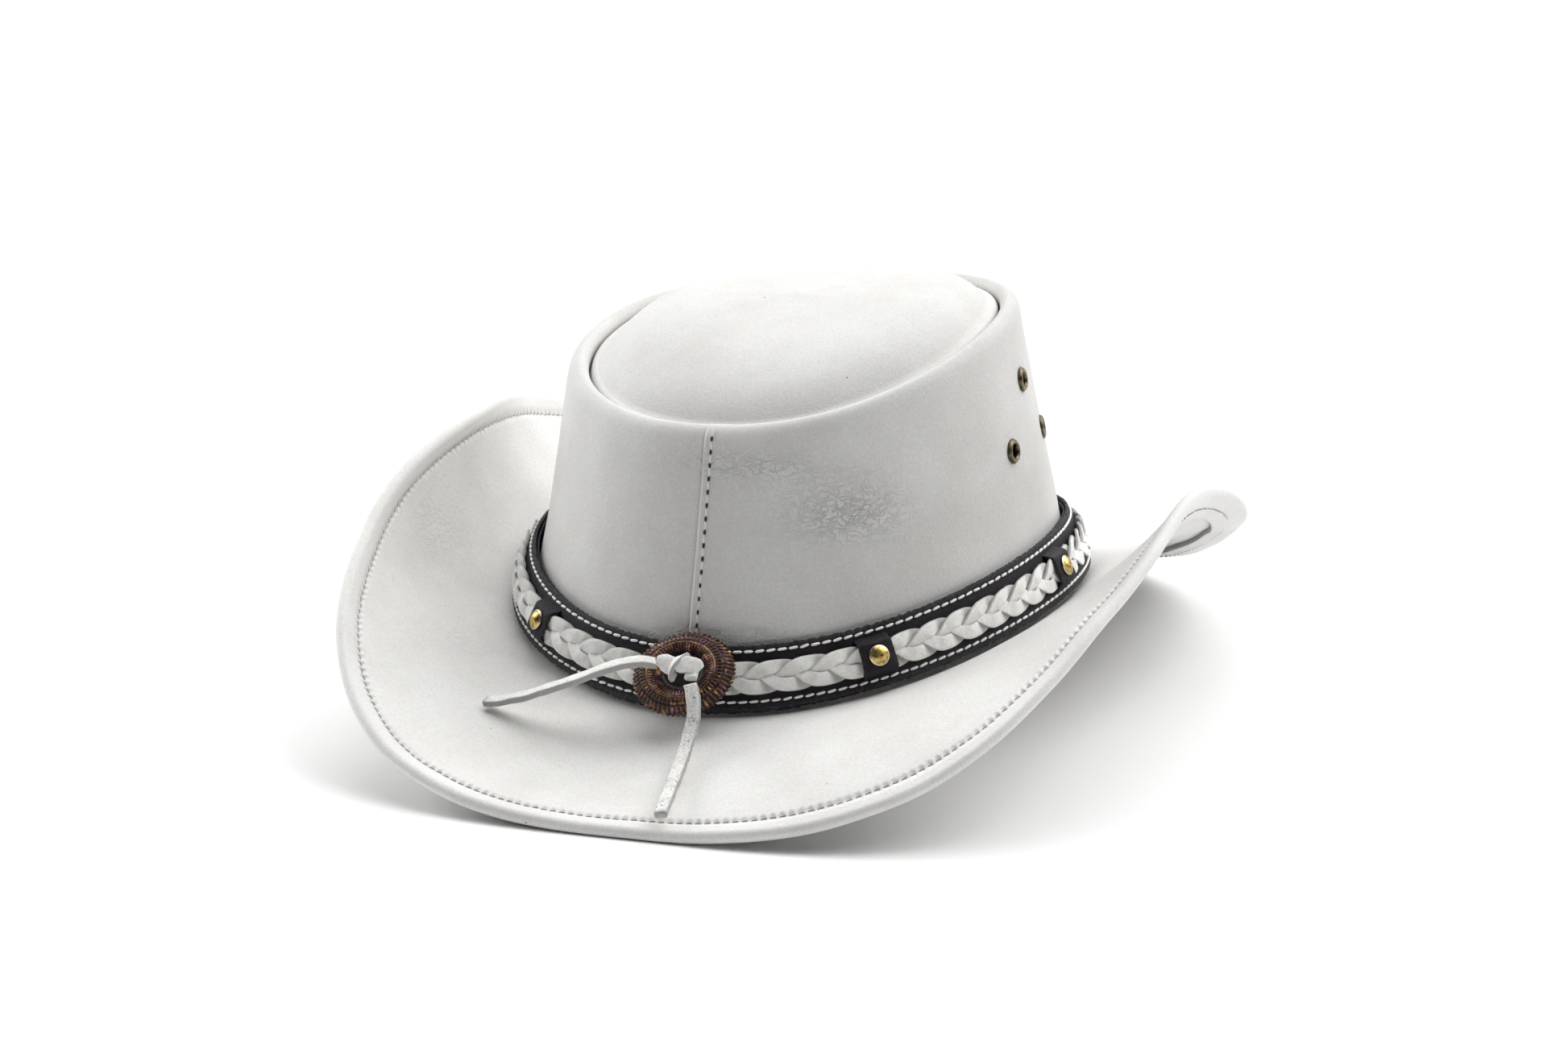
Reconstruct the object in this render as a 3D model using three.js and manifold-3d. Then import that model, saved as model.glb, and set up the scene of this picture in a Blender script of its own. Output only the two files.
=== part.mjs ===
// Western hat in pale cowhide: a tapered open crown with an oval tip, a curled wired brim,
// and a stitched black band that carries a braid, riveted keepers and a laced concho.
// Millimetres and degrees. +Z is up, -Y is the front of the hat and +X is the wearer's left.
// Heights are first taken from the crown's break line; ORIGIN then puts the hat on the table.

import * as THREE from "three";
import { mergeVertices } from "three/addons/utils/BufferGeometryUtils.js";
import { LoftGeometry } from "three/addons/geometries/LoftGeometry.js";
import Module from "manifold-3d";

const wasm = await Module();
wasm.setup();

// ---------------------------------------------------------------- driving dimensions

const ORIGIN = new THREE.Vector3(6.1, -0.6, -20.4); // centre of the brim, at table level
const GAP = 0.35; // clearance between pieces that touch

const CROWN = {
  halfWidth: 86, // outer face at the base
  halfLength: 105,
  sideLift: 11.5, // the break line is higher at the sides
  backLift: 1,
  leftLift: 1,
  topHalfWidth: 70.3,
  topHalfLength: 73.8,
  topShift: -5.7, // the top oval sits towards the front
  topPower: 2.17, // 2 would be an ellipse
  waist: -0.8, // the wall is hollow by this much at half height
  frontHeight: 83,
  backHeight: 100.5,
  topSideRise: 7, // the top edge dips at the front and the back
  topLeftRise: 5.2,
  leather: 1.9,
};

const ROLL = { width: 6.5, turnDown: 9 }; // the wall's top edge rolls over and turns down
const TIP = { leather: 1.5, dome: 13.5, fullness: 5, edgeDrop: 2 };
const SEAM = { front: 0, halfLap: 2.5, stitch: -0.9, proud: 0.35, ply: 0.95 }; // skived laps, degrees and mm

const BRIM = {
  leather: 1.5,
  rootOut: 2, // the leather has bent round this far outside the crown
  rootDrop: 0.8,
  // From front to back every 30 degrees, the same on both sides:
  width: [64.5, 73.5, 64, 60.3, 58.9, 66.1, 64.1],
  rootSlope: [-19.2, -3.6, 18.3, 33.7, 25.4, -1.3, -15.5],
  rimSlope: [-10, -4, 50.8, 79.2, 32.5, -6, -18.2],
  // What the wearer's left differs by, as multiples of sin(angle) and sin(2 angle):
  rootTwist: [1.2, 14.1],
  rimTwist: [-25.7, -5.1],
  twistFade: [142, 176], // degrees from the front
  curl: 1.36, // the slope turns from root to rim with this power of the way out
  collar: 9, // turned up inside the crown
};
const HEM = { bead: 2.2, wire: 0.7, cavity: 1.05, width: 11, stitchLine: 5.3, raise: 0.6, valley: 0.5 };

const SWEATBAND = { height: 36, thickness: 1.1, out: -4.2 };

const BAND = {
  height: 19.2,
  strap: 1.15,
  backing: 0.65,
  strapOut: 1.7, // inner face of the strap, from the crown
  backingOut: 0.7,
  footFront: -0.45, // lower edge above the break line
  footSideRise: 2.5,
  footLeftRise: 0.2,
  flareFront: 1.2, // the lower edge stands off this much more
  flareSide: 4.2,
  openAt: -0.5, // angle of the opening under the concho
  halfOpening: 0.7,
  stitchRow: 7.35, // from the middle of the two rows
  stitchRise: 0.4, // the rows' middle above the strap's middle
  plyStep: 0.4, // the backing shows below the strap by this much
};
const BRAID = { width: 9.9, thickness: 2.2, halfOpening: 5.5 };
const KEEPER = { width: 11, leather: 1.0, halfHeight: 6.55, plate: 3.2, legs: 1.05 };
const KEEPER_ANGLES = [36.2, 84.9, 142, 212, 261, 319.1];
const RIVET = { head: 3.25, rise: 1.85, shank: 1.2, hole: 1.6, length: 5.4 };

const CONCHO = { radius: 16.1, flatten: 0.85, height: 12.6, out: 9.6, lean: -22, turn: 12, slotAt: 4 };
const LACE = { width: 4, thickness: 2.4, legWidth: 2.2, legHeight: 3.6, legDepth: 8.6 };
const KNOT = { at: [0.3, 0.1, 5.5], size: [6.6, 3.6, 3.2] };
const THREAD = 0.4; // radius

// Angle and height of the three eyelets on the wearer's left; the right side mirrors them.
const EYELETS = [
  [82.6, 51.9],
  [105.9, 50.7],
  [94.1, 70.5],
];
const EYELET = { flange: 4, barrel: 2.6, bore: 2.2, hole: 3, depth: 3.9 };

// Routes of the lace's two free ends, from the knot to the tip.
const DROP_TAIL = [
  [5.2, -121.7, 13.6],
  [6.5, -123.1, 10.0],
  [7.4, -125.1, 5.1],
  [7.2, -127.7, 0.5],
  [7.2, -132.9, -3.8],
  [8.0, -140.5, -6.8],
  [9.1, -147.5, -8.3],
  [10.0, -154.3, -9.8],
  [10.9, -160.8, -11.2],
  [11.9, -166.9, -12.5],
];
const SIDE_TAIL = [
  [-7.8, -117.2, 17.8],
  [-12.0, -119.4, 18.6],
  [-18.1, -121.0, 17.5],
  [-25.5, -121.0, 14.5],
  [-31.5, -120.7, 11.7],
  [-37.5, -119.8, 9.0],
  [-43.5, -118.4, 6.4],
  [-49.5, -116.6, 3.6],
  [-55.5, -114.8, 1.4],
  [-61.0, -113.2, -0.5],
  [-66.0, -112.0, -1.5],
];

// ---------------------------------------------------------------- resolution

const AROUND = 9; // degrees between sections
const REST_ANGLES = [4.5, 175.5, 184.5, 355.5]; // extra sections of the brim where it rests
const BRIM_STEPS = 16; // pieces of the brim's curve
const ROUND_SIDES = 10; // sides of rivets, eyelets and holes

// ---------------------------------------------------------------- materials

const finish = (color, roughness, metalness = 0) =>
  new THREE.MeshStandardMaterial({ color, roughness, metalness });
const MATERIAL = {
  leather: finish(0xece9e4, 0.55),
  lining: finish(0xd9d3c8, 0.8),
  black: finish(0x17151a, 0.6),
  suede: finish(0xdedad2, 0.9),
  whiteThread: finish(0xf2efe8, 0.8),
  greyThread: finish(0x8e8d8a, 0.8),
  steel: finish(0x8a8d90, 0.4, 0.9),
  brass: finish(0xc9a040, 0.3, 0.95),
  darkBrass: finish(0x4a4133, 0.45, 0.9),
  copper: finish(0x6b4a42, 0.4, 0.9),
};

// ---------------------------------------------------------------- solids

// One closed surface: shared vertices, no collapsed triangles, faces pointing out.
function closeSurface(geometry) {
  const bare = new THREE.BufferGeometry();
  bare.setAttribute("position", geometry.attributes.position);
  bare.setIndex(geometry.index);
  const merged = mergeVertices(bare, 1e-4);
  const index = merged.index.array;
  const position = merged.attributes.position;
  const corners = [new THREE.Vector3(), new THREE.Vector3(), new THREE.Vector3()];
  const kept = [];
  let volume = 0;
  for (let i = 0; i < index.length; i += 3) {
    const [a, b, c] = index.slice(i, i + 3);
    if (a === b || b === c || c === a) continue;
    kept.push([a, b, c]);
    [a, b, c].forEach((vertex, k) => corners[k].fromBufferAttribute(position, vertex));
    volume += corners[0].dot(corners[1].clone().cross(corners[2]));
  }
  const faces = volume < 0 ? kept.map(([a, b, c]) => [a, c, b]) : kept;
  merged.setIndex(faces.flat());
  merged.computeVertexNormals();
  return merged;
}

function toSolid(geometry) {
  const closed = closeSurface(geometry);
  return new wasm.Manifold(
    new wasm.Mesh({
      numProp: 3,
      vertProperties: closed.attributes.position.array,
      triVerts: new Uint32Array(closed.index.array),
    }),
  );
}

function toGeometry(solid) {
  const mesh = solid.getMesh();
  const geometry = new THREE.BufferGeometry();
  geometry.setAttribute("position", new THREE.BufferAttribute(mesh.vertProperties, 3));
  geometry.setIndex(new THREE.BufferAttribute(mesh.triVerts, 1));
  geometry.computeVertexNormals();
  return geometry;
}

function cut(geometry, tools) {
  return toGeometry(tools.reduce((solid, tool) => solid.subtract(toSolid(tool)), toSolid(geometry)));
}

function join(geometries) {
  const [first, ...rest] = geometries.map(toSolid);
  return toGeometry(rest.reduce((solid, other) => solid.add(other), first));
}

// A ring through sections at every angle and any extra ones, or an open strip with two closed ends.
function ring(sectionAt, extra = []) {
  const grid = [...angles(0, 360), ...extra].sort((a, b) => a - b);
  return closeSurface(new LoftGeometry(grid.map(sectionAt)));
}

function strip(sectionAt, grid) {
  return loft(grid.map(sectionAt));
}

// Closed sections joined into a solid with both ends capped, wound so that it faces out.
function loft(sections) {
  const first = sections[0];
  const turning = new THREE.Vector3();
  const travel = new THREE.Vector3();
  first.forEach((point, i) => {
    const fromStart = point.clone().sub(first[0]);
    turning.add(fromStart.cross(first[(i + 1) % first.length].clone().sub(first[0])));
    travel.add(sections[1][i]).sub(point);
  });
  const wound = turning.dot(travel) < 0 ? sections.map((section) => [...section].reverse()) : sections;
  return closeSurface(new LoftGeometry(wound, { capStart: true, capEnd: true }));
}

// The two ends and every multiple of AROUND between them.
function angles(from, to) {
  const grid = [from];
  for (let k = Math.ceil((from + 0.5) / AROUND); k * AROUND < to - 0.5; k += 1) grid.push(k * AROUND);
  return [...grid, to];
}

// The path moved to its left by a distance, with mitred corners.
function offsetPath(path, distance) {
  const leftOf = (a, b) => new THREE.Vector2(a.y - b.y, b.x - a.x).normalize();
  return path.map((point, i) => {
    const before = i > 0 ? leftOf(path[i - 1], point) : leftOf(point, path[i + 1]);
    const after = i < path.length - 1 ? leftOf(point, path[i + 1]) : before;
    const middle = before.clone().add(after).normalize();
    return point.clone().addScaledVector(middle, distance / middle.dot(before));
  });
}

// ---------------------------------------------------------------- the hat's surfaces

const sin = (degrees) => Math.sin(THREE.MathUtils.degToRad(degrees));
const cos = (degrees) => Math.cos(THREE.MathUtils.degToRad(degrees));
const mix = THREE.MathUtils.lerp;
const backness = (angle) => (1 - cos(angle)) / 2;

// Height of the line where crown and brim meet, and of the crown's top edge.
function breakHeight(angle) {
  return CROWN.sideLift * sin(angle) ** 2 + CROWN.backLift * backness(angle) + CROWN.leftLift * sin(angle);
}

function topHeight(angle) {
  return (
    mix(CROWN.frontHeight, CROWN.backHeight, backness(angle)) +
    CROWN.topSideRise * sin(angle) ** 2 +
    CROWN.topLeftRise * sin(angle)
  );
}

// The crown's outline in plan, rise 0 at the break line and 1 at the top edge.
function crownOutline(angle, rise) {
  const power = 2 / mix(2, CROWN.topPower, rise);
  const hollow = CROWN.waist * 4 * rise * (1 - rise);
  const halfWidth = mix(CROWN.halfWidth, CROWN.topHalfWidth, rise) + hollow;
  const halfLength = mix(CROWN.halfLength, CROWN.topHalfLength, rise) + hollow;
  const across = Math.sign(sin(angle)) * Math.abs(sin(angle)) ** power;
  const along = Math.sign(cos(angle)) * Math.abs(cos(angle)) ** power;
  return new THREE.Vector2(halfWidth * across, -halfLength * along + CROWN.topShift * rise);
}

function outlineNormal(angle, rise) {
  const tangent = crownOutline(angle + 0.1, rise).sub(crownOutline(angle - 0.1, rise));
  return new THREE.Vector2(tangent.y, -tangent.x).normalize();
}

// A point beside the crown's outer face: z is absolute, out is horizontal.
function crownPoint(angle, z, out) {
  const rise = (z - breakHeight(angle)) / (topHeight(angle) - breakHeight(angle));
  const clamped = THREE.MathUtils.clamp(rise, 0, 1);
  const plan = crownOutline(angle, clamped).addScaledVector(outlineNormal(angle, clamped), out);
  return new THREE.Vector3(plan.x, plan.y, z);
}

// Axes at a point of the crown: x along it to the wearer's left, y up it, z out of it.
function crownFrame(angle, z, out) {
  const point = crownPoint(angle, z, out);
  const xAxis = crownPoint(angle + 0.1, z, out).sub(crownPoint(angle - 0.1, z, out)).normalize();
  const up = crownPoint(angle, z + 0.5, out).sub(crownPoint(angle, z - 0.5, out)).normalize();
  const zAxis = xAxis.clone().cross(up).normalize();
  const yAxis = zAxis.clone().cross(xAxis);
  return new THREE.Matrix4().makeBasis(xAxis, yAxis, zAxis).setPosition(point);
}

// Catmull-Rom through the values at 0, 30 ... 180 degrees, mirrored to the other side.
function around(values, angle) {
  const stations = [...values, ...values.slice(1, -1).reverse()];
  const place = THREE.MathUtils.euclideanModulo(angle, 360) / 30;
  const first = Math.floor(place);
  const t = place - first;
  const [a, b, c, d] = [-1, 0, 1, 2].map((k) => stations[(first + k + stations.length) % stations.length]);
  const linear = (c - a) * t;
  const squared = (2 * a - 5 * b + 4 * c - d) * t ** 2;
  const cubed = (3 * b - 3 * c + d - a) * t ** 3;
  return 0.5 * (2 * b + linear + squared + cubed);
}

// How much a slope differs from the mirrored stations; it fades out towards the back.
function leftTwist([once, twice], angle) {
  const fromFront = Math.abs(THREE.MathUtils.euclideanModulo(angle + 180, 360) - 180);
  const kept = 1 - THREE.MathUtils.smoothstep(fromFront, ...BRIM.twistFade);
  return kept * (once * sin(angle) + twice * sin(2 * angle));
}

// The brim's top surface in the plane at one angle, from the root to the bead's centre.
// at(arc, lift) is a point beside it, frame(arc) its direction and its upward normal.
function brimLine(angle) {
  const length = around(BRIM.width, angle) - HEM.bead;
  const root = around(BRIM.rootSlope, angle) + leftTwist(BRIM.rootTwist, angle);
  const rim = around(BRIM.rimSlope, angle) + leftTwist(BRIM.rimTwist, angle);
  const points = [new THREE.Vector2(BRIM.rootOut, breakHeight(angle) - BRIM.rootDrop)];
  for (let i = 0; i < BRIM_STEPS; i += 1) {
    const slope = mix(root, rim, ((i + 0.5) / BRIM_STEPS) ** BRIM.curl);
    const step = new THREE.Vector2(cos(slope), sin(slope)).multiplyScalar(length / BRIM_STEPS);
    points.push(points[i].clone().add(step));
  }
  const base = crownOutline(angle, 0);
  const outward = outlineNormal(angle, 0);
  const toSpace = (flat) =>
    new THREE.Vector3(base.x + outward.x * flat.x, base.y + outward.y * flat.x, Math.max(flat.y, ORIGIN.z));
  const frame = (arc) => {
    const place = THREE.MathUtils.clamp((arc / length) * BRIM_STEPS, 0, BRIM_STEPS - 1e-6);
    const first = Math.floor(place);
    const along = points[first + 1].clone().sub(points[first]);
    const point = points[first].clone().addScaledVector(along, place - first);
    const direction = along.normalize();
    return { point, direction, normal: new THREE.Vector2(-direction.y, direction.x) };
  };
  const at = (arc, lift) => {
    const { point, normal } = frame(arc);
    return toSpace(point.addScaledVector(normal, lift));
  };
  return { length, frame, at, toSpace };
}

// Points on a circle about the bead's centre, angles from the brim's outward direction.
function beadArc(line, radius, turns) {
  const { point, direction, normal } = line.frame(line.length);
  const centre = point.clone().addScaledVector(normal, HEM.raise - HEM.bead);
  return turns.map((turn) =>
    line.toSpace(
      centre
        .clone()
        .addScaledVector(direction, radius * cos(turn))
        .addScaledVector(normal, radius * sin(turn)),
    ),
  );
}

// ---------------------------------------------------------------- crown

// The wall's outer face from the break line over the rolled top to the turned-down edge.
function wallPath(angle) {
  const bottom = breakHeight(angle) + 1;
  const top = topHeight(angle);
  const rollStart = top - 4.5;
  const flat = [
    [0, bottom],
    [0, mix(bottom, rollStart, 0.5)],
    [0, rollStart],
    [-0.5, top - 2.2],
    [-1.8, top - 0.5],
    [-3.4, top],
    [-5.2, top - 0.8],
    [-6.2, top - 2.4],
    [-ROLL.width, top - 4.5],
    [-ROLL.width, top - ROLL.turnDown],
  ];
  return flat.map(([out, z]) => new THREE.Vector2(out, z));
}

function wallSection(angle, outerFace, innerFace) {
  const path = wallPath(angle);
  const outer = offsetPath(path, -outerFace);
  const inner = offsetPath(path, -innerFace).reverse();
  return [...outer, ...inner].map(({ x, y }) => crownPoint(angle, y, x));
}

// The left wall laps over the right one at both seams; each ply is skived there.
function makeWalls() {
  const front = SEAM.front;
  const back = 180;
  const lap = SEAM.halfLap;
  const shift = 0.1; // the plies thin within this angle
  const overLap = (angle) => wallSection(angle, SEAM.proud, -SEAM.ply + GAP);
  const underLap = (angle) => wallSection(angle, -SEAM.ply, -CROWN.leather);
  const full = (angle) => wallSection(angle, 0, -CROWN.leather);
  const between = (from, to) => angles(from, to).map(full);
  const edge = 0.25; // clearance beside a ply's edge, in degrees
  const left = [
    overLap(front - lap),
    overLap(front + lap),
    ...between(front + lap + edge + shift, back - lap - edge - shift),
    overLap(back - lap),
    overLap(back + lap),
  ];
  const right = [
    underLap(front + lap - 360),
    underLap(front - lap - edge),
    ...between(back + lap + edge + shift, 360 + front - lap - edge - shift).reverse(),
    underLap(back + lap + edge),
    underLap(back - lap),
  ];
  return { left: loft(left), right: loft(right) };
}

// The tip: a domed oval whose edge turns down beside the walls' rolled edge.
function tipSection(angle) {
  const top = topHeight(angle);
  const edgeOut = -ROLL.width - GAP - SEAM.proud;
  const centre = crownOutline(0, 1).add(crownOutline(180, 1)).multiplyScalar(0.5);
  const middle = mix(CROWN.frontHeight, CROWN.backHeight, 0.5) + CROWN.topSideRise / 2;
  const shoulder = crownPoint(angle, top, edgeOut - 2.2);
  const domed = (share, drop) => {
    const height = mix(middle, top - TIP.edgeDrop, share) + TIP.dome * (1 - share ** TIP.fullness);
    const point = shoulder.clone().sub(new THREE.Vector3(centre.x, centre.y, 0)).multiplyScalar(share);
    return new THREE.Vector3(centre.x + point.x, centre.y + point.y, height - drop);
  };
  const shares = [0, 0.35, 0.65, 0.82, 0.92, 1];
  const upper = shares.map((share) => domed(share, 0));
  const lower = shares.map((share) => domed(share * 0.985, TIP.leather)).reverse();
  const flange = [
    crownPoint(angle, top - 3.6, edgeOut),
    crownPoint(angle, top - ROLL.turnDown, edgeOut),
    crownPoint(angle, top - ROLL.turnDown, edgeOut - TIP.leather),
    crownPoint(angle, top - 4.2, edgeOut - TIP.leather),
  ];
  return [...upper, ...flange, ...lower];
}

// ---------------------------------------------------------------- brim

// One piece of leather: collar, top ply, bead round the wire, and the hem turned under it.
function brimSection(angle) {
  const line = brimLine(angle);
  const { length } = line;
  const ply = BRIM.leather;
  const stitch = length - HEM.stitchLine;
  const beside = (height, out) => crownPoint(angle, breakHeight(angle) + height, out);
  const spread = [0, 0.22, 0.45, 0.7].map((share) => [share * (length - HEM.width), 0]);
  const upper = [...spread, [length - HEM.width, 0], [stitch, -HEM.valley], [length - 2.8, 0.2]];
  const onTop = upper.map(([arc, lift]) => line.at(arc, lift));
  const under = upper.map(([arc, lift]) => line.at(arc, lift - ply)).reverse();
  return [
    beside(BRIM.collar, -CROWN.leather - GAP),
    beside(0.6, -CROWN.leather - GAP),
    beside(0.2, 0),
    ...onTop,
    ...beadArc(line, HEM.bead, [90, 45, 0, -45, -90]),
    line.at(length - 2.6, -3.95),
    line.at(length - HEM.stitchLine, -3.75),
    line.at(length - HEM.width, -3.4),
    line.at(length - HEM.width, -3.4 + ply),
    line.at(length - HEM.stitchLine, -3.75 + ply),
    line.at(length - 2.6, -3.95 + ply),
    ...beadArc(line, HEM.cavity, [-120, -50, 20, 90]),
    ...under,
    beside(-0.6, -2.6),
    beside(0.3, -CROWN.leather - GAP - ply),
    beside(BRIM.collar, -CROWN.leather - GAP - ply),
  ];
}

const wireSection = (angle) => beadArc(brimLine(angle), HEM.wire, [0, 60, 120, 180, 240, 300]);

function edgeThreadSection(angle) {
  const line = brimLine(angle);
  const arc = line.length - HEM.stitchLine;
  const lift = -HEM.valley + GAP + THREAD;
  return [
    line.at(arc + THREAD, lift),
    line.at(arc, lift + THREAD),
    line.at(arc - THREAD, lift),
    line.at(arc, lift - THREAD),
  ];
}

// A strip against the crown, given by heights above the break line and outward offsets.
const wallStrip = (corners) => (angle) =>
  corners.map(([height, out]) => crownPoint(angle, breakHeight(angle) + height, out));

const sweatbandSection = wallStrip([
  [1.5, SWEATBAND.out],
  [SWEATBAND.height, SWEATBAND.out],
  [SWEATBAND.height, SWEATBAND.out - SWEATBAND.thickness],
  [1.5, SWEATBAND.out - SWEATBAND.thickness],
]);

const insideSweatband = SWEATBAND.out - SWEATBAND.thickness - GAP - THREAD;

// A diamond thread, centred at a height and an offset from the crown.
const threadDiamond = (height, out) => [
  [height - THREAD, out],
  [height, out + THREAD],
  [height + THREAD, out],
  [height, out - THREAD],
];

function seamThread(angle, fromHeight) {
  const top = topHeight(angle) - 5;
  const bottom = breakHeight(angle) + fromHeight;
  const out = SEAM.proud + GAP + THREAD;
  const route = [0, 0.33, 0.67, 1].map((share) => crownPoint(angle, mix(bottom, top, share), out));
  const section = new THREE.Shape(new THREE.EllipseCurve(0, 0, THREAD, THREAD).getPoints(6).slice(0, 6));
  const extrudePath = new THREE.CatmullRomCurve3(route);
  return closeSurface(new THREE.ExtrudeGeometry(section, { steps: 8, extrudePath, bevelEnabled: false }));
}

// ---------------------------------------------------------------- band

// Height above the break line of the band's lower edge.
const bandFoot = (angle) =>
  BAND.footFront + BAND.footSideRise * sin(angle) ** 2 + BAND.footLeftRise * sin(angle);
const bandFlare = (angle) => mix(BAND.flareSide, BAND.flareFront, cos(angle) ** 2);

function bandPoint(angle, height, out) {
  const flare = bandFlare(angle) * (1 - height / BAND.height);
  const frame = crownFrame(angle, breakHeight(angle) + bandFoot(angle) + height, 0);
  return new THREE.Vector3(0, 0, out + flare).applyMatrix4(frame);
}

const bandSection = (corners) => (angle) => corners.map(([height, out]) => bandPoint(angle, height, out));

const STRAP_FACE = BAND.strapOut + BAND.strap;

function bandGrid(halfOpening) {
  return angles(BAND.openAt + halfOpening, BAND.openAt + 360 - halfOpening);
}

function plyCorners(low, high, inner, thickness) {
  return [
    [low, inner],
    [high, inner],
    [high, inner + thickness],
    [low, inner + thickness],
  ];
}

// Axes at the middle of the strap's outer face, moved out by a distance: x along the band.
function bandFrame(angle, out) {
  const middle = BAND.height / 2;
  const along = bandPoint(angle + 0.1, middle, 0).sub(bandPoint(angle - 0.1, middle, 0)).normalize();
  const rise = bandPoint(angle, middle + 0.5, 0).sub(bandPoint(angle, middle - 0.5, 0));
  const up = along.clone().cross(rise).cross(along).normalize();
  const outward = along.clone().cross(up);
  const origin = bandPoint(angle, middle, STRAP_FACE).addScaledVector(outward, out);
  return new THREE.Matrix4().makeBasis(along, up, outward).setPosition(origin);
}

function boxAt(size, centre, frame) {
  return new THREE.BoxGeometry(...size).translate(...centre).applyMatrix4(frame);
}

// A cylinder along the frame's z axis.
function cylinderAt(radius, length, frame) {
  const upright = new THREE.CylinderGeometry(radius, radius, length, ROUND_SIDES);
  return upright.rotateX(Math.PI / 2).applyMatrix4(frame);
}

// A bridge of leather over the braid; its two legs go into slits in the strap.
function keeperGeometry() {
  const outer = KEEPER.halfHeight;
  const inner = outer - KEEPER.leather;
  const top = KEEPER.plate + KEEPER.leather;
  const outline = [
    [-outer, -KEEPER.legs],
    [-outer, top - 0.8],
    [-outer + 0.8, top],
    [outer - 0.8, top],
    [outer, top - 0.8],
    [outer, -KEEPER.legs],
    [inner, -KEEPER.legs],
    [inner, KEEPER.plate],
    [-inner, KEEPER.plate],
    [-inner, -KEEPER.legs],
  ];
  const shape = new THREE.Shape(outline.map(([up, out]) => new THREE.Vector2(up, out)));
  const geometry = new THREE.ExtrudeGeometry(shape, { depth: KEEPER.width, bevelEnabled: false });
  geometry.translate(0, 0, -KEEPER.width / 2);
  const upOutAlong = new THREE.Matrix4().makeBasis(
    new THREE.Vector3(0, 1, 0),
    new THREE.Vector3(0, 0, 1),
    new THREE.Vector3(1, 0, 0),
  );
  geometry.applyMatrix4(upOutAlong);
  return cut(geometry, [cylinderAt(RIVET.hole, 20, new THREE.Matrix4())]);
}

function slitBoxes(angle) {
  const slitHeight = KEEPER.leather + 2 * GAP;
  const slitAt = KEEPER.halfHeight - KEEPER.leather / 2;
  const size = [KEEPER.width + 2 * GAP, slitHeight, 2 * BAND.strap + 2];
  const frame = bandFrame(angle, -BAND.strap / 2);
  return [boxAt(size, [0, slitAt, 0], frame), boxAt(size, [0, -slitAt, 0], frame)];
}

function latheOnZ(profile, segments) {
  const points = profile.map(([radius, height]) => new THREE.Vector2(radius, height));
  return closeSurface(new THREE.LatheGeometry(points, segments).rotateX(Math.PI / 2));
}

function rivetGeometry() {
  return latheOnZ(
    [
      [0, -RIVET.length],
      [RIVET.shank, -RIVET.length],
      [RIVET.shank, 0],
      [RIVET.head, 0],
      [RIVET.head - 0.15, 0.7],
      [RIVET.head * 0.7, 1.4],
      [RIVET.head * 0.35, RIVET.rise - 0.1],
      [0, RIVET.rise],
    ],
    ROUND_SIDES,
  );
}

// ---------------------------------------------------------------- concho and lace

// A pressed shell: recessed middle, domed ring, thin rim.
function conchoGeometry() {
  const shell = latheOnZ(
    [
      [0, 1.7],
      [6.2, 1.7],
      [7.6, 3.7],
      [10.6, 4.7],
      [14.2, 3.2],
      [16.2, 1.1],
      [CONCHO.radius, 0.5],
      [16.2, 0],
      [13.8, 1.9],
      [10.6, 3.5],
      [8.3, 2.7],
      [6.9, 0.6],
      [0, 0.6],
    ],
    28,
  );
  shell.scale(1, CONCHO.flatten, 1);
  const turned = new THREE.Matrix4().makeRotationZ(THREE.MathUtils.degToRad(CONCHO.turn));
  shell.applyMatrix4(turned);
  return cut(shell, laceLegs(GAP, new THREE.Matrix4()));
}

function conchoFrame() {
  const z = breakHeight(BAND.openAt) + CONCHO.height;
  const lean = new THREE.Matrix4().makeRotationX(THREE.MathUtils.degToRad(CONCHO.lean));
  return crownFrame(BAND.openAt, z, CONCHO.out).multiply(lean);
}

// The two ends of the lace on their way back through the concho and the band.
function laceLegs(clearance, frame) {
  const size = [
    LACE.legWidth + 2 * clearance,
    LACE.legHeight + 2 * clearance,
    LACE.legDepth + KNOT.at[2] + 4 * clearance,
  ];
  const depth = (KNOT.at[2] - LACE.legDepth) / 2 - clearance;
  return [-1, 1].map((side) => boxAt(size, [side * CONCHO.slotAt, 0, depth], frame));
}

function knotGeometry(frame) {
  const body = new THREE.SphereGeometry(1, 16, 10);
  body.scale(...KNOT.size).translate(...KNOT.at);
  return join([body.applyMatrix4(frame), ...laceLegs(0, frame)]);
}

// A flat lace along a route, its broad face turned towards the given direction.
function laceGeometry(route, facing) {
  const curve = new THREE.CatmullRomCurve3(route.map((point) => new THREE.Vector3(...point)));
  const halfWidth = LACE.width / 2;
  const halfDepth = LACE.thickness / 2;
  const corner = 0.55;
  const outline = [
    [halfWidth, halfDepth - corner],
    [halfWidth - corner, halfDepth],
    [corner - halfWidth, halfDepth],
    [-halfWidth, halfDepth - corner],
    [-halfWidth, corner - halfDepth],
    [corner - halfWidth, -halfDepth],
    [halfWidth - corner, -halfDepth],
    [halfWidth, corner - halfDepth],
  ];
  const steps = 12;
  const sections = [];
  for (let i = 0; i <= steps; i += 1) {
    const point = curve.getPointAt(i / steps);
    const tangent = curve.getTangentAt(i / steps);
    const across = tangent.clone().cross(new THREE.Vector3(...facing)).normalize();
    const face = across.clone().cross(tangent);
    sections.push(
      outline.map(([u, v]) => point.clone().addScaledVector(across, u).addScaledVector(face, v)),
    );
  }
  return loft(sections);
}

// ---------------------------------------------------------------- eyelets

function eyeletFrame(angle, height) {
  return crownFrame(angle, breakHeight(angle) + height, GAP);
}

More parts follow.
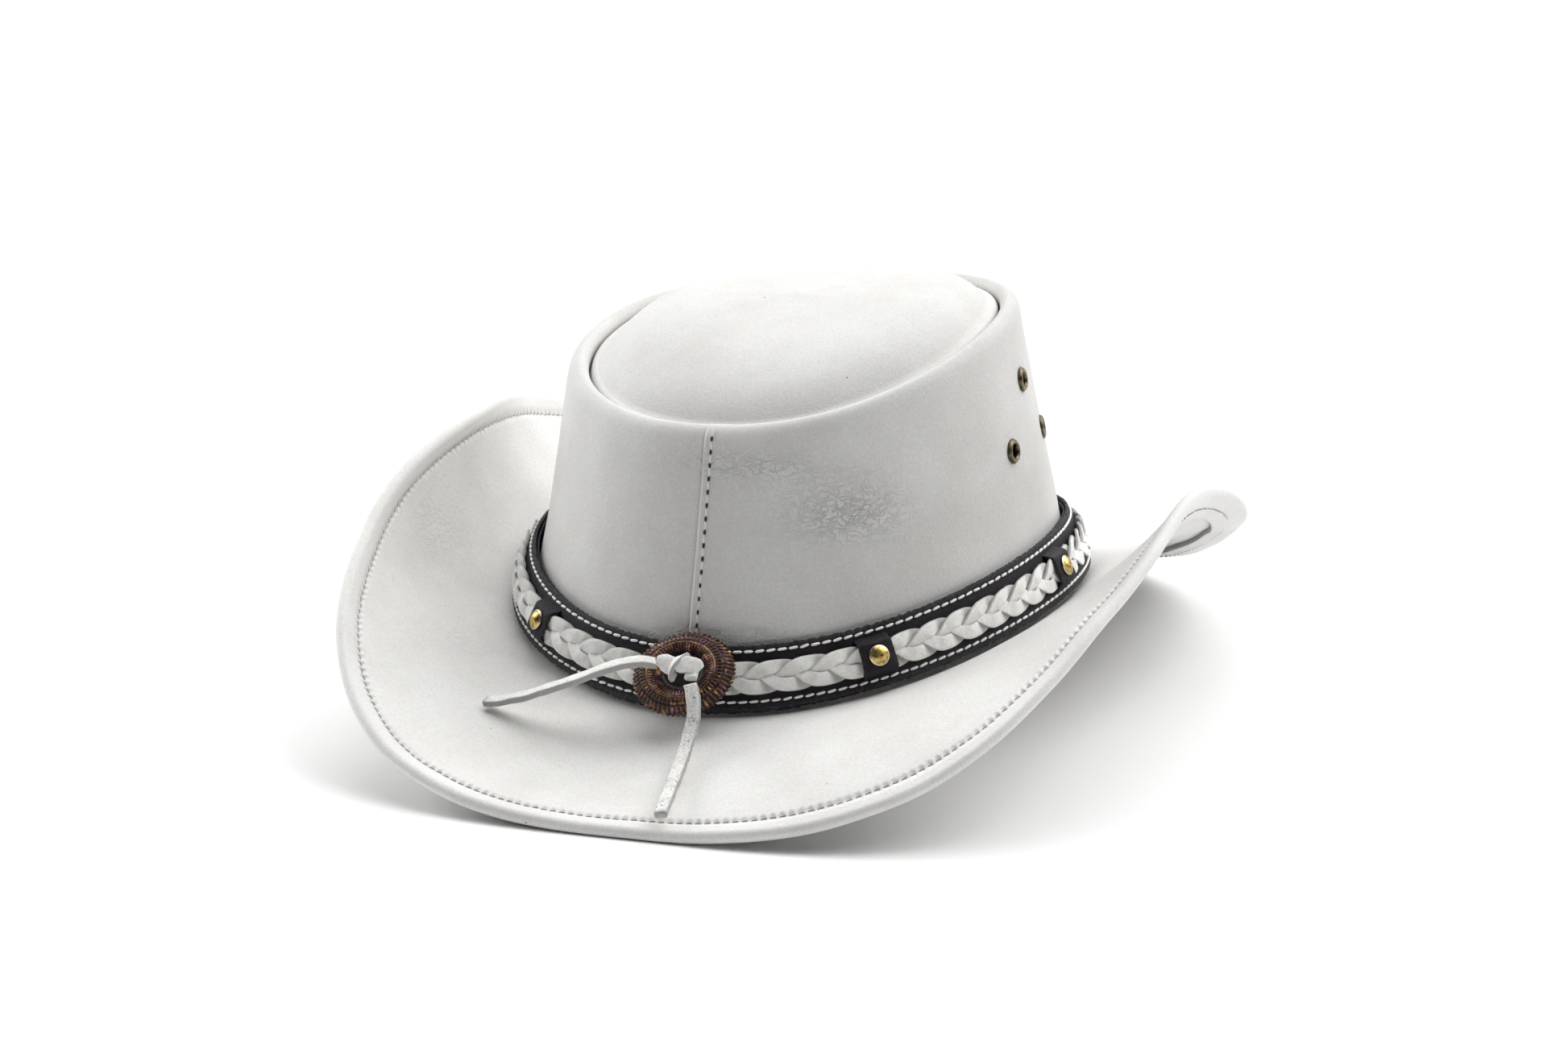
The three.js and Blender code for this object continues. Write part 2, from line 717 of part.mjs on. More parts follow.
function eyeletGeometry() {
  const { flange, barrel, bore, depth } = EYELET;
  return latheOnZ(
    [
      [bore, 0.5],
      [(bore + flange) / 2, 1],
      [flange - 0.4, 0.7],
      [flange, 0],
      [barrel, 0],
      [barrel, -depth],
      [bore, -depth],
      [bore, 0.5],
    ],
    ROUND_SIDES,
  );
}

function washerGeometry() {
  const inner = EYELET.barrel + GAP;
  const outer = EYELET.flange + 0.2;
  return latheOnZ(
    [
      [inner, -0.6],
      [outer, -0.6],
      [outer, 0],
      [inner, 0],
      [inner, -0.6],
    ],
    ROUND_SIDES,
  );
}

// ---------------------------------------------------------------- assembly

const hat = new THREE.Group();
const crown = new THREE.Group();
const brim = new THREE.Group();
const band = new THREE.Group();
hat.add(crown, brim, band);
hat.position.copy(ORIGIN).negate();

function add(group, name, geometry, material, frame) {
  const mesh = new THREE.Mesh(geometry, material);
  mesh.name = name;
  if (frame) frame.decompose(mesh.position, mesh.quaternion, mesh.scale);
  group.add(mesh);
}

// Crown, with three eyelets on each side
const eyeletSpots = [1, -1].flatMap((side) =>
  EYELETS.map(([angle, height], i) => ({
    name: `${side > 0 ? "left" : "right"}_${i + 1}`,
    side,
    frame: eyeletFrame(side * angle, height),
  })),
);
const eyeletHoles = (side) =>
  eyeletSpots.filter((spot) => spot.side === side).map((spot) => cylinderAt(EYELET.hole, 12, spot.frame));
const walls = makeWalls();
add(crown, "crown_side_left", cut(walls.left, eyeletHoles(1)), MATERIAL.leather);
add(crown, "crown_side_right", cut(walls.right, eyeletHoles(-1)), MATERIAL.leather);
add(crown, "crown_tip", ring(tipSection), MATERIAL.leather);
add(crown, "crown_front_thread", seamThread(SEAM.front + SEAM.stitch, 21), MATERIAL.greyThread);
add(crown, "crown_back_thread", seamThread(180 - SEAM.stitch, 21), MATERIAL.greyThread);
add(crown, "sweatband", ring(sweatbandSection), MATERIAL.lining);
add(crown, "sweatband_thread", ring(wallStrip(threadDiamond(5, insideSweatband))), MATERIAL.greyThread);
const washerDepth = new THREE.Matrix4().makeTranslation(0, 0, -CROWN.leather - 2 * GAP - 0.15);
for (const { name, frame } of eyeletSpots) {
  add(crown, `eyelet_${name}`, eyeletGeometry(), MATERIAL.darkBrass, frame);
  const washerFrame = frame.clone().multiply(washerDepth);
  add(crown, `eyelet_washer_${name}`, washerGeometry(), MATERIAL.darkBrass, washerFrame);
}

// Brim
add(brim, "brim", ring(brimSection, REST_ANGLES), MATERIAL.leather);
add(brim, "brim_wire", ring(wireSection, REST_ANGLES), MATERIAL.steel);
add(brim, "brim_edge_thread", ring(edgeThreadSection, REST_ANGLES), MATERIAL.greyThread);

// Band
const concho = conchoFrame();
const rivetHole = (angle) => cylinderAt(RIVET.hole, 2 * (RIVET.length + 1), bandFrame(angle, 3));
const rivetHoles = KEEPER_ANGLES.map(rivetHole);
const slits = KEEPER_ANGLES.flatMap(slitBoxes);
const laceHoles = laceLegs(GAP, concho);
const strapCorners = plyCorners(BAND.plyStep, BAND.height, BAND.strapOut, BAND.strap);
const backingCorners = plyCorners(0, BAND.height - BAND.plyStep, BAND.backingOut, BAND.backing);
const strap = strip(bandSection(strapCorners), bandGrid(BAND.halfOpening));
const backing = strip(bandSection(backingCorners), bandGrid(BAND.halfOpening));
const braidLow = (BAND.height - BRAID.width) / 2;
const braidInner = STRAP_FACE + GAP;
const braid = strip(
  bandSection([
    [braidLow + 1, braidInner],
    [braidLow + BRAID.width - 1, braidInner],
    [braidLow + BRAID.width, braidInner + 1.2],
    [braidLow + BRAID.width - 1.8, braidInner + BRAID.thickness],
    [braidLow + 1.8, braidInner + BRAID.thickness],
    [braidLow, braidInner + 1.2],
  ]),
  bandGrid(BRAID.halfOpening),
);
add(band, "band_strap", cut(strap, [...rivetHoles, ...slits, ...laceHoles]), MATERIAL.black);
add(band, "band_backing", cut(backing, laceHoles), MATERIAL.black);
add(band, "band_braid", cut(braid, rivetHoles), MATERIAL.suede);
const rowOut = STRAP_FACE + GAP + THREAD;
const rowGrid = bandGrid(BAND.halfOpening + 1);
for (const [name, side] of [["upper", 1], ["lower", -1]]) {
  const corners = threadDiamond(BAND.height / 2 + BAND.stitchRise + side * BAND.stitchRow, rowOut);
  add(band, `band_thread_${name}`, strip(bandSection(corners), rowGrid), MATERIAL.whiteThread);
}
KEEPER_ANGLES.forEach((angle, i) => {
  add(band, `band_keeper_${i + 1}`, keeperGeometry(), MATERIAL.black, bandFrame(angle, 0));
  const seat = KEEPER.plate + KEEPER.leather + GAP;
  add(band, `band_rivet_${i + 1}`, rivetGeometry(), MATERIAL.brass, bandFrame(angle, seat));
});
add(band, "concho", conchoGeometry(), MATERIAL.copper, concho);
add(band, "lace_knot", knotGeometry(concho), MATERIAL.suede);
add(band, "lace_tail_front", laceGeometry(DROP_TAIL, [0, -0.7, 0.7]), MATERIAL.suede);
add(band, "lace_tail_side", laceGeometry(SIDE_TAIL, [0, -0.3, 0.95]), MATERIAL.suede);

export default hat;
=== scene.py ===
"""A white leather western hat with a curled brim and a braided black band, on a pale floor.

The shapes are worked out in millimetres in the hat's own axes, with heights from the crown's break
line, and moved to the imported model's frame when a mesh is made.  Angles are degrees from the front,
positive towards the wearer's left.
"""

import math

import bmesh
import bpy
import numpy as np
from mathutils import Matrix, Vector


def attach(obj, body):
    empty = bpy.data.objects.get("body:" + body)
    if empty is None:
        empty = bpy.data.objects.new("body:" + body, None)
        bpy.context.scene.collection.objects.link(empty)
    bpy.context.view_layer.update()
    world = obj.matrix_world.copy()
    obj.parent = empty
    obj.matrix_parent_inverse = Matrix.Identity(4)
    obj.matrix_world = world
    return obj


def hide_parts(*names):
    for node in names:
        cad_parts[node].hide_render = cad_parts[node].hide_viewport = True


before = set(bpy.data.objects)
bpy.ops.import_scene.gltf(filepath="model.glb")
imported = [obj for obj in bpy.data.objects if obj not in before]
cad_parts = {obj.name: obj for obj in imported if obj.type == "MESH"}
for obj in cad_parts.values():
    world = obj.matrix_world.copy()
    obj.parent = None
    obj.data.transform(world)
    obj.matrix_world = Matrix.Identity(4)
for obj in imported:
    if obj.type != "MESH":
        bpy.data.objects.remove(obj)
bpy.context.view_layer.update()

# ---- dimensions, in mm and degrees

ORIGIN = np.array([6.1, -0.6, -20.4])
MM = 0.001

HALF_WIDTH = 86.0
HALF_LENGTH = 105.0
SIDE_LIFT = 11.5
TOP_HALF_WIDTH = 70.3
TOP_HALF_LENGTH = 73.8
TOP_SHIFT = -5.7
TOP_POWER = 2.17
WAIST = -0.8
FRONT_HEIGHT = 83.0
BACK_HEIGHT = 100.5
TOP_SIDE_RISE = 7.0
TOP_LEFT_RISE = 5.2
CROWN_LEATHER = 1.9
ROLL_WIDTH = 6.5
ROLL_HEIGHT = 4.5
TURN_DOWN = 9.0
TIP_DOME = 13.5
TIP_FULLNESS = 5
TIP_LEATHER = 1.5

BRIM_LEATHER = 1.5
ROOT_OUT = 2.0
ROOT_DROP = 0.8
BRIM_WIDTH = (64.5, 73.5, 64, 60.3, 58.9, 66.1, 64.1)
ROOT_SLOPE = (-19.2, -3.6, 18.3, 33.7, 25.4, -1.3, -15.5)
RIM_SLOPE = (-10, -4, 50.8, 79.2, 32.5, -6, -18.2)
ROOT_TWIST = (1.2, 14.1)
RIM_TWIST = (-25.7, -5.1)
TWIST_FADE = (142, 176)
BRIM_CURL = 1.36
BEAD = 2.2
HEM_WIDTH = 11.0
STITCH_LINE = 5.3
STITCH_PITCH = 2.9
BEAD_RAISE = 0.6

SWEATBAND_HEIGHT = 36
SWEATBAND_FACES = (-4.2, -5.3)
SEAM_ANGLE = -0.9
LAP = 2.5
SEAM_LIFT = 0.42
SEAM_START = 20.5
SEAM_PITCH = 4.05
BAND_HEIGHT = 19.2
FOOT_RISE = -0.45
FOOT_SIDE_RISE = 2.5
FOOT_LEFT_RISE = 0.2
FLARE_AT_SIDE = 4.2
FLARE_AT_END = 1.2
STRAP_IN = 1.7
STRAP = 1.15
BACKING_IN = 0.7
BACKING = 0.65
STRAP_FACE = STRAP_IN + STRAP
ROW_GAP = 7.35
ROW_RISE = 0.4
ROW_PITCH = 3.45
OPEN_AT = -0.5  # where the band's ends meet, behind the concho
KEEPER_ANGLES = (36.2, 84.9, 142, 212, 261, 319.1)
KEEPER_REACH = 6.75
KEEPER_BOW = 3.7
KEEPER_LEATHER = 1.05
RIVET_RADIUS = 3.25
RIVET_OUT = 4.05
EYELETS = ((82.6, 51.9), (105.9, 50.7), (94.1, 70.5))
EYELET_HOLE = 3.0

BRAID_PERIOD = 31.5
BRAID_SWING = 3.05
BRAID_DEPTH = 0.66
STRAND_WIDTH = 4.5
STRAND_THICK = 1.15

CONCHO_RADIUS = 16.1
CONCHO_FLAT = 0.85
CONCHO_HEIGHT = 12.6
CONCHO_OUT = 9.6
CONCHO_LEAN = -22
CONCHO_TURN = 12
CONCHO_RIBS = 60

LACE_WIDTH = 4.0
LACE_THICK = 2.4
DROP_TAIL = (
    (5.2, -121.7, 13.6), (6.5, -123.1, 10.0), (7.4, -125.1, 5.1), (7.2, -127.7, 0.5),
    (7.2, -132.9, -3.8), (8.0, -140.5, -6.8), (9.1, -147.5, -8.3), (10.0, -154.3, -9.8),
    (10.9, -160.8, -11.2), (11.9, -166.9, -12.5),
)
SIDE_TAIL = (
    (-7.8, -117.2, 17.8), (-12.0, -119.4, 18.6), (-18.1, -121.0, 17.5), (-25.5, -121.0, 14.5),
    (-31.5, -120.7, 11.7), (-37.5, -119.8, 9.0), (-43.5, -118.4, 6.4), (-49.5, -116.6, 3.6),
    (-55.5, -114.8, 1.4), (-61.0, -113.2, -0.5), (-66.0, -112.0, -1.5),
)

# ---- camera

CAMERA_AZIMUTH = 19.174
CAMERA_ELEVATION = 15.791
CAMERA_ROLL = 0.716
CAMERA_DISTANCE = 1590.6
CAMERA_AIM = (-6.1, 31.1)  # across the view and up from the hat's own origin
LENS = 112.54


def add_object(name, data):
    """A linked object for a mesh, a light or a camera."""
    thing = bpy.data.objects.new(name, data)
    bpy.context.scene.collection.objects.link(thing)
    return thing


def place_camera():
    turn, rise, roll = [math.radians(v) for v in (CAMERA_AZIMUTH, CAMERA_ELEVATION, CAMERA_ROLL)]
    across = Vector((math.cos(turn), math.sin(turn), 0))
    away = Vector((math.sin(turn) * math.cos(rise), -math.cos(turn) * math.cos(rise), math.sin(rise)))
    up = away.cross(across)
    place = across * CAMERA_AIM[0] + Vector((0, 0, CAMERA_AIM[1])) + away * CAMERA_DISTANCE
    data = bpy.data.cameras.new("camera")
    data.lens = LENS
    data.sensor_width = 36
    data.clip_end = 100
    x_axis = across * math.cos(roll) - up * math.sin(roll)
    y_axis = across * math.sin(roll) + up * math.cos(roll)
    axes = Matrix((x_axis, y_axis, away)).transposed().to_4x4()
    camera = add_object("camera", data)
    camera.matrix_world = Matrix.Translation((place - Vector(ORIGIN)) * MM) @ axes
    bpy.context.scene.camera = camera


place_camera()

# ---- small maths


def sin(angle):
    return np.sin(np.radians(angle))


def cos(angle):
    return np.cos(np.radians(angle))


def mix(a, b, share):
    return a + (b - a) * share


def smooth(low, high, x):
    t = np.clip((np.asarray(x, float) - low) / (high - low), 0, 1)
    return t * t * (3 - 2 * t)


def bump(x, centre, width):
    return np.exp(-(((np.asarray(x, float) - centre) / width) ** 2))


def unit(v):
    return v / np.linalg.norm(v, axis=-1, keepdims=True)


def waves(points, wavelength, seed, count=14):
    """A smooth random field over points in space, about -1 to 1."""
    rng = np.random.default_rng(seed)
    directions = unit(rng.normal(size=(count, 3)))
    lengths = wavelength * rng.uniform(0.75, 1.4, count)
    phases = rng.uniform(0, 2 * math.pi, count)
    spread = points @ (directions / lengths[:, None] * 2 * math.pi).T + phases
    return np.sin(spread).sum(-1) / math.sqrt(count)


def catmull_rom(a, b, c, d, t):
    return (2 * b + (c - a) * t + (2 * a - 5 * b + 4 * c - d) * t**2 + (3 * b - 3 * c + d - a) * t**3) / 2


def run_along(route):
    """How far along a polyline each of its points is."""
    return np.concatenate([[0], np.cumsum(np.linalg.norm(np.diff(route, axis=0), axis=1))])


def circle(count):
    return np.linspace(0, 2 * math.pi, count, endpoint=False)


def rounded(turn, power):
    """A unit circle's two coordinates, squared off by a power below 1."""
    x, y = np.cos(turn), np.sin(turn)
    return np.sign(x) * np.abs(x) ** power, np.sign(y) * np.abs(y) ** power


def through(points, share):
    """Catmull-Rom through points, at shares 0 to 1 of the way by length, and the length."""
    points = np.asarray(points, float)
    padded = np.vstack([2 * points[0] - points[1], points, 2 * points[-1] - points[-2]])
    t = np.linspace(0, 1, 24, endpoint=False)[:, None]
    spans = [catmull_rom(*padded[i : i + 4], t) for i in range(len(points) - 1)]
    fine = np.vstack([*spans, points[-1:]])
    run = run_along(fine)
    wanted = np.asarray(share) * run[-1]
    return np.stack([np.interp(wanted, run, fine[:, k]) for k in range(fine.shape[1])], -1), run[-1]


# ---- the hat's surfaces


def break_height(angle):
    return SIDE_LIFT * sin(angle) ** 2 + (1 - cos(angle)) / 2 + sin(angle)


def top_height(angle):
    along = mix(FRONT_HEIGHT, BACK_HEIGHT, (1 - cos(angle)) / 2)
    return along + TOP_SIDE_RISE * sin(angle) ** 2 + TOP_LEFT_RISE * sin(angle)


def outline(angle, rise):
    """The crown seen from above, at a share of its height."""
    hollow = WAIST * 4 * rise * (1 - rise)
    half_width = mix(HALF_WIDTH, TOP_HALF_WIDTH, rise) + hollow
    half_length = mix(HALF_LENGTH, TOP_HALF_LENGTH, rise) + hollow
    ahead, aside = rounded(np.radians(angle), 2 / mix(2, TOP_POWER, rise))
    return np.stack([half_width * aside, TOP_SHIFT * rise - half_length * ahead], -1)


def outward(angle, rise):
    """The outline's normal in plan."""
    along = outline(angle + 0.1, rise) - outline(angle - 0.1, rise)
    return unit(np.stack([along[..., 1], -along[..., 0]], -1))


def crown_point(angle, z, out=0.0):
    angle, z, out = np.broadcast_arrays(*[np.asarray(v, float) for v in (angle, z, out)])
    rise = np.clip((z - break_height(angle)) / (top_height(angle) - break_height(angle)), 0, 1)
    plan = outline(angle, rise) + outward(angle, rise) * out[..., None]
    return np.concatenate([plan, z[..., None]], -1)


def crown_axes(angle, z):
    """Along the crown, up it and out of it, as unit vectors."""
    along = unit(crown_point(np.add(angle, 0.1), z) - crown_point(np.subtract(angle, 0.1), z))
    up = unit(crown_point(angle, np.add(z, 0.5)) - crown_point(angle, np.subtract(z, 0.5)))
    out = unit(np.cross(along, up))
    return along, np.cross(out, along), out


def around(stations, angle):
    """Catmull-Rom through values every 30 degrees from front to back, mirrored to the other side."""
    ring = np.array([*stations, *stations[-2:0:-1]], float)
    place = np.mod(angle, 360) / 30
    first = np.floor(place).astype(int)
    return catmull_rom(*[ring[(first + k) % len(ring)] for k in (-1, 0, 1, 2)], place - first)


def left_twist(once, twice, angle):
    """A part of the slope that is opposite on the two sides, and gone towards the back."""
    from_front = np.abs(np.mod(angle + 180, 360) - 180)
    kept = 1 - smooth(*TWIST_FADE, from_front)
    return kept * (once * sin(angle) + twice * sin(2 * angle))


class BrimLine:
    """The brim's top surface at each of many angles, from the root to the middle of the bead."""

    steps = 64

    def __init__(self, angle):
        self.angle = np.asarray(angle, float)
        self.length = around(BRIM_WIDTH, self.angle) - BEAD
        root = around(ROOT_SLOPE, self.angle) + left_twist(*ROOT_TWIST, self.angle)
        rim = around(RIM_SLOPE, self.angle) + left_twist(*RIM_TWIST, self.angle)
        share = (np.arange(self.steps) + 0.5) / self.steps
        slope = np.radians(mix(root[:, None], rim[:, None], share[None, :] ** BRIM_CURL))
        step = self.length[:, None] / self.steps
        start = np.zeros((len(self.angle), 1))
        self.out = ROOT_OUT + np.hstack([start, np.cumsum(np.cos(slope) * step, 1)])
        foot = break_height(self.angle) - ROOT_DROP
        self.rise = foot[:, None] + np.hstack([start, np.cumsum(np.sin(slope) * step, 1)])
        self.slope = np.hstack([slope[:, :1], (slope[:, 1:] + slope[:, :-1]) / 2, slope[:, -1:]])
        self.base = outline(self.angle, 0.0)
        self.normal = outward(self.angle, 0.0)

    def sample(self, table, arc):
        """A table's value at an arc length, one per angle."""
        place = np.clip(arc / self.length * self.steps, 0, self.steps - 1e-6)
        first = place.astype(int)
        rows = np.arange(len(self.angle))
        return mix(table[rows, first], table[rows, first + 1], place - first)

    def at(self, arc, lift, beyond=0.0):
        """Points at arc along the brim, lift above its surface and beyond further out."""
        arc = np.broadcast_to(np.asarray(arc, float), self.angle.shape)
        slope = self.sample(self.slope, arc)
        out = self.sample(self.out, arc) - lift * np.sin(slope) + beyond * np.cos(slope)
        rise = self.sample(self.rise, arc) + lift * np.cos(slope) + beyond * np.sin(slope)
        plan = self.base + self.normal * out[:, None]
        return np.concatenate([plan, np.maximum(rise, ORIGIN[2])[:, None]], -1)

    def bead(self, radius, turn):
        """A point on a circle about the bead's centre, turn in degrees from the outward direction."""
        return self.at(self.length, BEAD_RAISE - BEAD + radius * sin(turn), radius * cos(turn))


def band_foot(angle):
    """How far the band's foot is above the break line."""
    return FOOT_RISE + FOOT_SIDE_RISE * sin(angle) ** 2 + FOOT_LEFT_RISE * sin(angle)


def band_point(angle, height, out):
    """A point of the band: height above its foot and out from the crown, along the wall's normal."""
    angle, height, out = np.broadcast_arrays(*[np.asarray(v, float) for v in (angle, height, out)])
    flare = mix(FLARE_AT_SIDE, FLARE_AT_END, cos(angle) ** 2) * (1 - height / BAND_HEIGHT)
    z = break_height(angle) + band_foot(angle) + height
    return crown_point(angle, z) + crown_axes(angle, z)[2] * (out + flare)[..., None]


def band_frame(angle, out):
    """Axes at the middle of the strap's face: x along the band, y up it, z out of it."""
    middle = BAND_HEIGHT / 2
    along = unit(band_point(angle + 0.1, middle, 0) - band_point(angle - 0.1, middle, 0))
    rise = band_point(angle, middle + 0.5, 0) - band_point(angle, middle - 0.5, 0)
    outward_axis = unit(np.cross(along, rise))
    axes = np.column_stack([along, np.cross(outward_axis, along), outward_axis])
    return axes, band_point(angle, middle, STRAP_FACE) + outward_axis * out


# ---- making pieces


def add_piece(name, points, faces, body, look, nodes=(), uv=None, values=None):
    """A mesh object from points in hat millimetres. uv is one pair per face corner."""
    material, slot = look
    mesh = bpy.data.meshes.new(name)
    mesh.from_pydata(((np.asarray(points) - ORIGIN) * MM).tolist(), [], faces)
    mesh.polygons.foreach_set("use_smooth", [True] * len(mesh.polygons))
    if uv is not None:
        layer = mesh.uv_layers.new(name="flat")
        layer.data.foreach_set("uv", np.asarray(uv, float).ravel())
    for label, data in (values or {}).items():
        attribute = mesh.attributes.new(label, "FLOAT", "POINT")
        attribute.data.foreach_set("value", np.asarray(data, float).ravel())
    mesh.validate()
    mesh.materials.append(material)
    piece = add_object(name, mesh)
    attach(piece, body)
    if nodes:
        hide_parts(*nodes)
    return piece


def grid_faces(rows, columns, wrap_rows=False, wrap_columns=False, flip=False, offset=0):
    """Quads over a grid of points, row by row, and the row and column of each corner."""
    across_rows = np.arange(rows if wrap_rows else rows - 1)
    across_columns = np.arange(columns if wrap_columns else columns - 1)
    i, j = [grid.ravel() for grid in np.meshgrid(across_rows, across_columns, indexing="ij")]
    corner_rows = np.stack([i, i + 1, i + 1, i], 1)
    corner_columns = np.stack([j, j, j + 1, j + 1], 1)
    if flip:
        corner_rows, corner_columns = corner_rows[:, ::-1], corner_columns[:, ::-1]
    faces = (corner_rows % rows) * columns + corner_columns % columns + offset
    return faces.tolist(), corner_rows, corner_columns


def capped_faces(rows, columns, flip=False, offset=0):
    """Quads round a run of rings, and one face over each end, all facing the same way."""
    faces = grid_faces(rows, columns, False, True, flip, offset)[0]
    first = [offset + k for k in range(columns)]
    last = [offset + (rows - 1) * columns + k for k in range(columns)]
    faces.append(first[::-1] if flip else first)
    faces.append(last if flip else last[::-1])
    return faces


def add_tube(name, sections, body, look, closed_ring=True, along=None, across=None, **rest):
    """A closed skin through closed sections: a ring of them, or a run with its ends capped."""
    sections = np.asarray(sections, float)
    rows, columns = sections.shape[:2]
    spokes = sections[0] - sections[0, 0]
    turning = sum(np.cross(spokes[k], spokes[(k + 1) % columns]) for k in range(columns))
    flip = float(turning @ (sections[1] - sections[0]).sum(0)) > 0
    uv = None
    if closed_ring:
        faces, corner_rows, corner_columns = grid_faces(rows, columns, True, True, flip)
        if along is not None:
            uv = np.stack([along[corner_rows], across[corner_columns]], -1).reshape(-1, 2)
    else:
        faces = capped_faces(rows, columns, flip)
    return add_piece(name, sections.reshape(-1, 3), faces, body, look, uv=uv, **rest)


def cut_holes(piece, centres, radius, length):
    """Round holes through a piece, at points in hat millimetres with a direction each."""
    for point, direction in centres:
        turn = Vector(direction).to_track_quat("Z", "Y").to_matrix().to_4x4()
        place = Matrix.Translation((Vector(point) - Vector(ORIGIN)) * MM) @ turn
        size = {"segments": 40, "radius1": radius * MM, "radius2": radius * MM, "depth": length * MM}
        bm = bmesh.new()
        bmesh.ops.create_cone(bm, cap_ends=True, matrix=place, **size)
        data = bpy.data.meshes.new("drill")
        bm.to_mesh(data)
        bm.free()
        drill = add_object("drill", data)
        modifier = piece.modifiers.new("hole", "BOOLEAN")
        modifier.operation = "DIFFERENCE"
        modifier.object = drill
        modifier.solver = "EXACT"
        evaluated = piece.evaluated_get(bpy.context.evaluated_depsgraph_get())
        cut = bpy.data.meshes.new_from_object(evaluated)
        piece.modifiers.clear()
        piece.data = cut
        bpy.data.objects.remove(drill)
        bpy.data.meshes.remove(data)


def lathe_points(profile, segments):
    """Points of a profile of (radius, height) turned about z, row by row, in local millimetres."""
    turn = circle(segments)
    radius, height = np.array(profile, float).T
    x = radius[:, None] * np.cos(turn)[None, :]
    y = radius[:, None] * np.sin(turn)[None, :]
    return np.stack([x, y, np.broadcast_to(height[:, None], x.shape)], -1)


def rings(centre, across, face, wide, thick):
    """Points round a centreline: how far along each of its two cross axes, per row and ring place."""
    return centre[:, None] + across[:, None] * wide[..., None] + face[:, None] * thick[..., None]


def capsule(half_length, radius, rows=7, columns=8):
    """A stitch: a rounded rod along x, in local millimetres, with its faces."""
    place = np.linspace(-1, 1, rows)
    swell = radius * np.sqrt(np.clip(1 - place**6, 0.02, 1))[:, None]
    turn = circle(columns)
    x = np.broadcast_to((place * half_length)[:, None], (rows, columns))
    points = np.stack([x, swell * np.cos(turn), swell * np.sin(turn)], -1)
    return points.reshape(-1, 3), capped_faces(rows, columns, flip=True)


def add_copies(name, template, frames, body, look, **rest):
    """One mesh of many copies of a template, each at (axes as columns, centre)."""
    shape, faces = template
    points = [shape @ np.asarray(axes).T + centre for axes, centre in frames]
    starts = range(0, len(frames) * len(shape), len(shape))
    all_faces = [[start + index for index in face] for start in starts for face in faces]
    return add_piece(name, np.vstack(points), all_faces, body, look, **rest)


def along_route(route, normals, pitch, start=0.5):
    """Centres, directions and normals at equal steps along a polyline."""
    run = run_along(route)
    count = max(1, round(run[-1] / pitch))
    wanted = (np.arange(count) + start) * run[-1] / count

    def at(values, where):
        return np.stack([np.interp(where, run, values[:, k]) for k in range(3)], -1)

    ahead = at(route, wanted + 0.5) - at(route, wanted - 0.5)
    return at(route, wanted), unit(ahead), unit(at(normals, wanted))


def stitch_frames(centre, direction, normal, slant=0.0):
    """Axes for stitches lying along a line, each turned by slant about the surface's normal."""
    slant = np.broadcast_to(np.radians(slant), len(centre))
    across = unit(np.cross(normal, direction))
    along = direction * np.cos(slant)[:, None] + across * np.sin(slant)[:, None]
    across = np.cross(normal, along)
    return [(np.column_stack(axes), place) for *axes, place in zip(along, across, normal, centre)]


# ---- materials


class Nodes:
    """A short way to write a node tree."""

    def __init__(self, name):
        self.material = bpy.data.materials.new(name)
        self.material.use_nodes = True
        self.tree = self.material.node_tree
        self.surface = self.tree.nodes["Principled BSDF"]

    def add(self, kind, *inputs, output=0, named=(), **settings):
        """A node, its inputs by position (None to leave one alone) or by name, and one of its outputs."""
        node = self.tree.nodes.new(kind)
        for key, value in settings.items():
            setattr(node, key, value)
        for socket, value in zip(node.inputs, inputs):
            self.feed(socket, value)
        for key, value in dict(named).items():
            self.feed(node.inputs[key], value)
        return node.outputs[output]

    def feed(self, socket, value):
        if isinstance(value, bpy.types.NodeSocket):
            self.tree.links.new(value, socket)
        elif value is not None:
            socket.default_value = value

    def set(self, **values):
        """Inputs of the surface, by their names in lower case with underscores."""
        for key, value in values.items():
            self.feed(self.surface.inputs[key.replace("_", " ").title().replace("Ior", "IOR")], value)

    def place(self):
        return self.add("ShaderNodeTexCoord", output="Object")

    def stretched(self, *scale):
        return self.add("ShaderNodeMapping", named={"Vector": self.place(), "Scale": scale})

    def noise(self, scale, detail=3.0, rough=0.5, vector=None, distortion=0.0):
        named = {"Scale": scale, "Detail": detail, "Roughness": rough, "Distortion": distortion}
        return self.add("ShaderNodeTexNoise", vector or self.place(), named=named)

    def cells(self, scale, feature="F1", output="Distance"):
        named = {"Scale": scale, "Randomness": 1.0}
        return self.add("ShaderNodeTexVoronoi", self.place(), named=named, output=output, feature=feature)

    def math(self, operation, a, b=None):
        return self.add("ShaderNodeMath", a, b, operation=operation)

    def times(self, a, b):
        return self.math("MULTIPLY", a, b)

    def ramp(self, value, low, high, to_low=0.0, to_high=1.0):
        inputs = (value, low, high, to_low, to_high)
        return self.add("ShaderNodeMapRange", *inputs, interpolation_type="SMOOTHSTEP")

    def blend(self, share, a, b):
        """From colour a to colour b; each is a socket or three numbers."""
        a, b = [(*colour, 1.0) if isinstance(colour, tuple) else colour for colour in (a, b)]
        inputs = (share, None, None, None, None, None, a, b)
        return self.add("ShaderNodeMix", *inputs, output=2, data_type="RGBA")

    def tint(self, base, mask, amount, colour):
        """The base turned towards a colour by amount where the mask is 1."""
        return self.blend(self.times(mask, amount), base, colour)

    def value(self, name):
        return self.add("ShaderNodeAttribute", output="Fac", attribute_name=name)

    def bump(self, height, distance, strength=1.0, normal=None):
        named = {"Strength": strength, "Distance": distance, "Height": height, "Normal": normal}
        return self.add("ShaderNodeBump", named=named)


